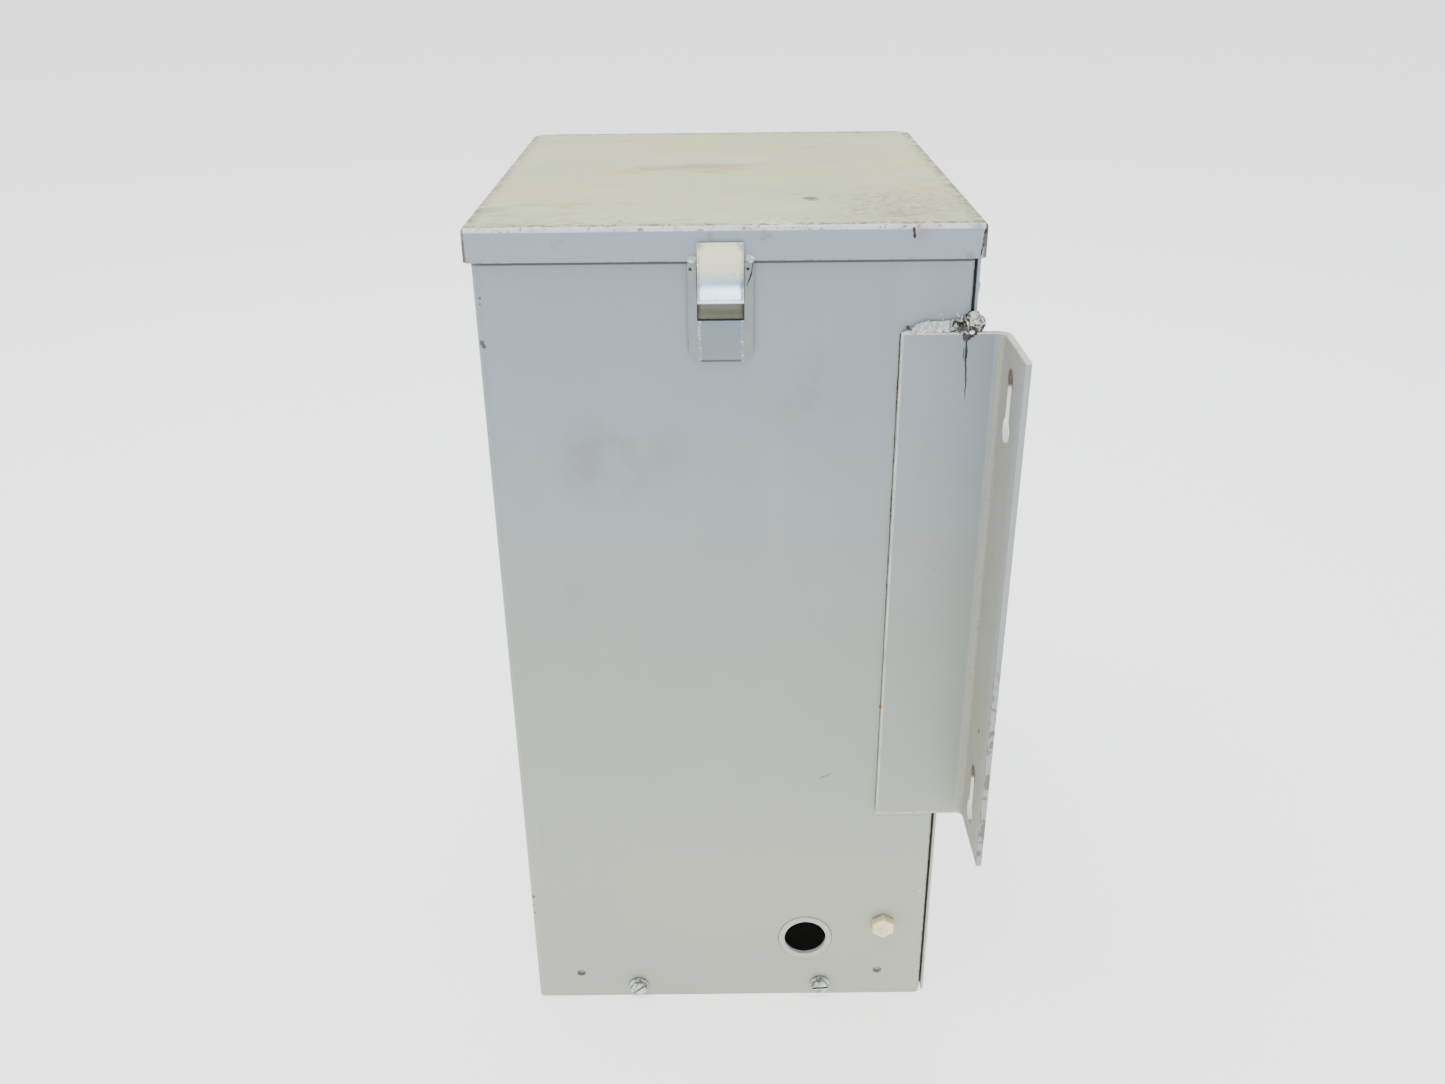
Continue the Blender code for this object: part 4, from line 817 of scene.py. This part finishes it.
def turned_screw(name, centre, radius, height, finish, slot_turn, body="box"):
    """A small slotted screw head facing the door side: turned rings, slotted on top."""
    centre = Vector(centre)
    facing = Vector((0, -1, 0)).to_track_quat("Z", "Y").to_matrix() @ Matrix.Rotation(slot_turn, 3, "Z")
    sides = 28
    rows = [(0.0, -0.2), (1.0, -0.2), (1.0, 0.45), (0.93, 0.75), (0.78, 0.93), (0.45, 1.0), (0.0, 1.0)]
    mesh = bmesh.new()
    rings = []
    for reach, level in rows:
        if reach == 0:
            rings.append([mesh.verts.new(centre + facing @ Vector((0, 0, level * height)))])
            continue
        ring = []
        for angle in turns(sides):
            x, y = math.cos(angle) * reach * radius, math.sin(angle) * reach * radius
            spot = Vector((x, y, level * height))
            if level > 0.7 and abs(spot.y) < radius * 0.17:
                spot.z -= height * 0.42
            ring.append(mesh.verts.new(centre + facing @ spot))
        rings.append(ring)
    for before, after in zip(rings, rings[1:]):
        for index in range(sides):
            step = (index + 1) % sides
            if len(before) == 1:
                mesh.faces.new((before[0], after[step], after[index]))
            elif len(after) == 1:
                mesh.faces.new((before[index], before[step], after[0]))
            else:
                mesh.faces.new((before[index], before[step], after[step], after[index]))
    add_piece(name, mesh, FINISHES[finish], body)


# ---- welds and damage on the side walls
def make_angle_welds():
    """Painted beads along the top and bottom of each angle's leg."""
    front = ANGLE_LOW.y + 0.0002
    corner = SHELL_HIGH.y - 0.0065
    top = ANGLE_HIGH.z + 0.0014
    low = ANGLE_LOW.z - 0.0004
    for tag, sign in SIDES:
        x = sign * (SIDE_X + 0.0010)
        ridge_start = (x, front + 0.007, top + 0.0020)
        toe_start = (sign * (SIDE_X + 0.0022), front, top - 0.0013)
        toe_end = (sign * (SIDE_X + 0.0024), front + 0.0115, top - 0.0010)
        runs = (
            ("top", (x, front + 0.004, top), (x, corner, top + 0.0002), 0.0026, 3, 0.0034),
            ("top_ridge", ridge_start, (x, corner - 0.001, top + 0.0024), 0.0014, 9, 0.0027),
            ("top_toe", toe_start, toe_end, 0.0011, 12, 0.0021),
            ("bottom", (x, front + 0.001, low), (x, corner + 0.002, low), 0.0011, 14, 0.0030),
        )
        for part, start, end, radius, seed, ripple in runs:
            bead(f"weld_{tag}_{part}", start, end, radius, seed + sign, ripple)
    crater = (SIDE_X + 0.0006, ANGLE_LOW.y + 0.0026, ANGLE_HIGH.z + 0.0020)
    lump("weld_crater", crater, (0.0006, 0.0007, 0.0007), DARK, 8, 0.4, 3, 700)


def make_burnt_corner():
    """The blown-out end of the top weld at the wall's back corner, with its spatter."""
    top = ANGLE_HIGH.z
    blobs = (
        ("core", (0.0008, 0.1026, 0.0022), (0.0034, 0.0050, 0.0042), 5, 0.50, 5, 330),
        ("crown", (-0.0004, 0.1040, 0.0056), (0.0026, 0.0036, 0.0024), 11, 0.60, 4, 420),
        ("ash", (0.0012, 0.0978, 0.0030), (0.0020, 0.0030, 0.0022), 17, 0.55, 4, 420),
        ("edge", (-0.0002, 0.1074, 0.0034), (0.0022, 0.0026, 0.0030), 23, 0.55, 4, 420),
        ("tip", (0.0026, 0.1018, -0.0012), (0.0011, 0.0020, 0.0028), 29, 0.45, 4, 420),
    )
    for tag, (out, y, up), radii, seed, rough, detail, grain in blobs:
        lump(f"burnt_weld_{tag}", (SIDE_X + out, y, top + up), radii, BURNT, seed, rough, detail, grain)
    drop = (SIDE_X + 0.0040, 0.1036, top + 0.0006)
    lump("burnt_weld_bead", drop, (0.0008, 0.0014, 0.0009), CHIP_LIGHT, 3, 0.25, 3, 500)
    random.seed(7)
    for index in range(16):
        y = random.uniform(0.090, 0.1035)
        z = top + random.uniform(0.0045, 0.0100)
        size = random.uniform(0.0002, 0.0005)
        place = (SIDE_X + size * 0.3, y, z)
        lump(f"weld_spatter_{index + 1}", place, (size, size, size), WELD_PAINT, index, 0.3, 2, 900)


def make_cracks():
    """A dark run down the leg, a painted shadow strip in the open seam beside it, and a painted shadow line
    beside the catch's tongue.
    """
    x = LEG_FACE_X
    top = ANGLE_HIGH.z
    run = wandering((x, 0.1017, top - 0.0020), (x, 0.1033, top - 0.0300), 18, 0.00020, 4)
    widths = [0.0010, 0.0008, 0.0009, 0.0012, 0.0013, 0.0012, 0.0013, 0.0009, 0.0010, 0.0008,
              0.0009, 0.0008, 0.0008, 0.0007, 0.0006, 0.0006, 0.0004, 0.0003, 0.0001]
    ribbon("crack_below_weld", run, widths, 0.00008, DARK)
    branch = wandering((x, 0.1012, top - 0.0062), (x, 0.1010, top - 0.0120), 5, 0.00015, 6)
    ribbon("crack_branch", branch, [0.0002, 0.0005, 0.0004, 0.0005, 0.0003, 0.0001], 0.00007, DARK)
    for tag, sign in SIDES:
        x = sign * SIDE_X
        y = ANGLE_LOW.y - 0.0004
        seam = wandering((x, y, top - 0.0006), (x, y, ANGLE_LOW.z + 0.0010), 60, 0.00008, 12)
        random.seed(21)
        spread = []
        for index in range(61):
            narrowing = 0.00080 - 0.00052 * min(1.0, (index / 42) ** 1.5)
            spread.append(random.uniform(0.5, 1.3) * narrowing)
        # Painted shadow: a dark strip down the open seam between the leg's edge and the wall.
        ribbon(f"seam_{tag}_angle", seam, spread, 0.00010, GAP_SHADE, sign)
    rust = (SIDE_X + 0.0004, ANGLE_LOW.y - 0.0003, 0.1870)
    lump("seam_rust", rust, (0.0004, 0.0006, 0.0012), RUST_SPOT, 2, 0.4, 3, 800)
    # Painted shadow: a dark curved line along the right edge of the catch's tongue.
    curve = []
    for index in range(9):
        t = index / 8
        aside = 0.0132 - 0.0026 * t * t
        out = 0.0024 - 0.0007 * (aside - 0.0087) / 0.0048
        curve.append(Vector((SIDE_X + out, CATCH_Y + aside, TONGUE_HIGH.z - 0.0006 - 0.0096 * t)))
    widths = [0.0003, 0.0005, 0.0004, 0.0007, 0.0009, 0.0008, 0.0006, 0.0004, 0.0002]
    ribbon("shadow_beside_catch", curve, widths, 0.00008, DARK, body="lid")


def make_tack_welds():
    """Two painted tacks that join the tongue to the skirt, with a dark spot under each."""
    for tag, offset in (("left", -0.0116), ("right", 0.0121)):
        y = CATCH_Y + offset
        tack = (LID_HIGH.x - 0.0002, y, LID_LOW.z + 0.0010)
        seed = 31 + offset * 1000
        lump(f"tack_{tag}", tack, (0.0013, 0.0019, 0.0018), WELD_PAINT, seed, 0.22, 4, 480, "lid")
        flake(f"tack_dark_spot_{tag}", (SIDE_X + 0.0021, y - 0.0008, LID_LOW.z - 0.0034), 0.0008, DARK, 5, "lid")


def make_marks():
    """A pale chip, a scratch and small dark marks on the wall, the lid and the flange, and a painted shadow
    in the skirt's split corner.
    """
    flake("wall_chip_pale", (SIDE_X, 0.1003, 0.0713), 0.0009, CHIP_LIGHT, 51)
    scratch = wandering((SIDE_X, 0.0450, 0.1440), (SIDE_X, 0.0530, 0.1480), 6, 0.0002, 8)
    ribbon("wall_scratch", scratch, [0.0001, 0.0003, 0.0004, 0.0003, 0.0004, 0.0002, 0.0001], 0.00005, DARK)
    mark = (SIDE_X + 0.0236, ANGLE_HIGH.y - 0.0025, 0.1882)
    flake("flange_mark", mark, 0.0016, DARK, 61, normal=(0, -1, 0))
    on_skirt = {"body": "lid", "slot": "lid_enamel"}
    tick = wandering((LID_HIGH.x, 0.0772, 0.4186), (LID_HIGH.x, 0.0779, 0.4141), 4, 0.0001, 3)
    ribbon("skirt_tick", tick, [0.0013, 0.0012, 0.0012, 0.0016, 0.0005], 0.00006, DARK, **on_skirt)
    # Painted shadow with grime: a dark strip in the split at the skirt's right-hand corner.
    split_top = (LID_HIGH.x, LID_HIGH.y - 0.0010, 0.4180)
    split = wandering(split_top, (LID_HIGH.x, LID_HIGH.y - 0.0026, 0.4066), 12, 0.00015, 17)
    widths = [0.0004, 0.0013, 0.0015, 0.0012, 0.0014, 0.0011, 0.0009,
              0.0011, 0.0008, 0.0009, 0.0007, 0.0008, 0.0004]
    ribbon("skirt_corner_split", split, widths, 0.00006, GAP_SHADE, **on_skirt)


# ---- fittings inside and on the door
def make_terminal_screws():
    """Screws of the terminal bars, the lugs, the breakers and the pan."""
    for name in ("neutral_bar", "ground_bar"):
        low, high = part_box(name)
        middle = (low.x + high.x) / 2
        for index in range(9):
            place = (middle, low.y, low.z + 0.0065 + 0.0095 * index)
            turned_screw(f"{name}_screw_{index + 1}", place, 0.0027, 0.0016, "steel", 0.5 * index)
    for tag, sign in (("left", -1), ("right", 1)):
        low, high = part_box(f"main_lug_{tag}")
        place = ((low.x + high.x) / 2, low.y + 0.0022, LUG_SCREW_Z)
        turned_screw(f"main_lug_{tag}_set_screw", place, 0.0040, 0.0014, "steel", 0.7)
        for row in (1, 2):
            low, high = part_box(f"breaker_{tag}_{row}_case")
            outer = high.x if sign > 0 else low.x
            place = (outer - sign * 0.013, BREAKER_TERMINAL_Y, (low.z + high.z) / 2)
            turned_screw(f"breaker_{tag}_{row}_terminal", place, 0.0036, 0.0012, "zinc", 0.3 * row)
    for level, z in PAN_SCREW_HEIGHTS.items():
        for tag, sign in (("left", -1), ("right", 1)):
            turned_screw(f"pan_screw_{level}_{tag}", (sign * 0.052, 0.0085, z), 0.0042, 0.0020, "zinc", 0.9)


def make_door_seal():
    """A rectangular ring of soft strip standing on the inside of the door, a little in from its edge."""
    low_y = DOOR_LOW.y + 0.0013
    high_y = low_y + 0.0024
    edge = 0.0025
    width = 0.0045
    low = Vector((DOOR_LOW.x + edge, 0, DOOR_LOW.z + edge))
    high = Vector((DOOR_HIGH.x - edge, 0, DOOR_HIGH.z - edge))
    mesh = bmesh.new()
    loops = []
    for inset, y in ((0, low_y), (0, high_y), (width, high_y), (width, low_y)):
        corners = [(low.x + inset, low.z + inset), (high.x - inset, low.z + inset),
                   (high.x - inset, high.z - inset), (low.x + inset, high.z - inset)]
        loops.append([mesh.verts.new((x, y, z)) for x, z in corners])
    skin(mesh, loops + loops[:1], ends=False)
    seal = add_piece("door_seal", mesh, FINISHES["gasket_rubber"], "door", smooth=False)
    soften = seal.modifiers.new("soft", "BEVEL")
    soften.width = 0.0004
    soften.segments = 2


def make_hinge_rivets():
    """Two rivets in each leaf of the door's hinges."""
    for tag in ("lower", "upper"):
        low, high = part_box(f"door_hinge_{tag}_door_leaf")
        body_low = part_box(f"door_hinge_{tag}_body_leaf")[0]
        for index, z in enumerate((low.z + 0.008, high.z - 0.008)):
            end = f"{tag}_{index + 1}"
            on_door = (high.x - 0.007, low.y, z)
            on_body = (body_low.x + 0.007, HINGE_LEAF_Y, z)
            turned_screw(f"door_leaf_rivet_{end}", on_door, 0.0026, 0.0012, "steel", 0.4 + index, "door")
            turned_screw(f"body_leaf_rivet_{end}", on_body, 0.0026, 0.0012, "steel", 1.1 + index)


# ---- stage
# Light given off by the floor, as a bright table top would.
FLOOR_GLOW = 1.4
FLOOR_REACH = 30.0


def make_floor():
    """A wide pale floor that fills the view."""
    reach = FLOOR_REACH
    mesh = bmesh.new()
    corners = [(-reach, -reach), (reach, -reach), (reach, reach), (-reach, reach)]
    mesh.faces.new([mesh.verts.new((x, y, 0)) for x, y in corners])
    data = bpy.data.meshes.new("floor")
    mesh.to_mesh(data)
    mesh.free()
    graph = Graph("pale_floor")
    tone = graph.mix(graph.noise(3, 2.0), (0.93, 0.93, 0.925), (0.955, 0.955, 0.95))
    graph.shader.inputs["Emission Strength"].default_value = FLOOR_GLOW
    graph.shader.inputs["Emission Color"].default_value = (1.0, 0.99, 0.965, 1.0)
    normal = graph.bump(graph.noise(90, 2.0), 0.0002, 0.1)
    data.materials.append(graph.finish(tone, 0.85, normal, Specular_IOR_Level=0.1))
    floor = new_object("floor", data)


def add_area(name, place, target, size, energy, colour):
    """A rectangular lamp turned towards a target."""
    light = bpy.data.lights.new(name, "AREA")
    light.shape = "RECTANGLE"
    light.size, light.size_y = size
    light.energy = energy
    light.color = colour
    lamp = new_object(name, light)
    lamp.location = place
    lamp.rotation_euler = (Vector(target) - Vector(place)).to_track_quat("-Z", "Y").to_euler()


def make_light():
    """A pale room: warm near the horizon, cooler overhead, with soft panels above."""
    world = bpy.data.worlds.new("studio")
    bpy.context.scene.world = world
    world.use_nodes = True
    tree = world.node_tree
    background = tree.nodes["Background"]
    place = tree.nodes.new("ShaderNodeTexCoord")
    split = tree.nodes.new("ShaderNodeSeparateXYZ")
    ramp = tree.nodes.new("ShaderNodeValToRGB")
    stops = ramp.color_ramp.elements
    stops[0].position = 0.02
    stops[0].color = (2.3, 2.28, 2.22, 1)
    stops[1].position = 0.75
    stops[1].color = (0.58, 0.66, 0.75, 1)
    stops.new(0.16).color = (1.0, 0.98, 0.95, 1)
    tree.links.new(place.outputs["Generated"], split.inputs[0])
    tree.links.new(split.outputs[2], ramp.inputs[0])
    tree.links.new(ramp.outputs["Color"], background.inputs["Color"])
    background.inputs["Strength"].default_value = 0.9
    middle = (0, 0, 0.2)
    add_area("ceiling", (0.3, -0.3, 2.5), middle, (2.4, 2.4), 74, (1.0, 0.985, 0.945))
    add_area("sky_panel", (-1.1, 0.0, 1.95), middle, (1.3, 0.9), 16, (0.62, 0.80, 1.0))
    add_area("front_fill", (2.6, -0.4, 1.5), middle, (1.6, 1.2), 7, (0.90, 0.95, 1.0))


def make_camera():
    """Above and in front of the +X wall, looking a little down."""
    data = bpy.data.cameras.new("camera")
    data.sensor_width = 36
    data.lens = CAMERA_LENS
    data.clip_start = 0.01
    camera = new_object("camera", data)
    pitch = math.radians(CAMERA_PITCH)
    ahead = Vector((-math.cos(pitch), 0.0007, -math.sin(pitch)))
    turn = ahead.to_track_quat("-Z", "Y").to_matrix()
    roll = Matrix.Rotation(math.radians(CAMERA_ROLL), 3, "Z")
    camera.matrix_world = (turn @ roll).to_4x4()
    camera.location = (SIDE_X + CAMERA_OUT, CAMERA_SIDE, CAMERA_HEIGHT)
    bpy.context.scene.camera = camera


dress_frame()
make_angle_welds()
make_burnt_corner()
make_cracks()
make_tack_welds()
make_marks()
make_terminal_screws()
make_door_seal()
make_hinge_rivets()
make_floor()
make_light()
make_camera()
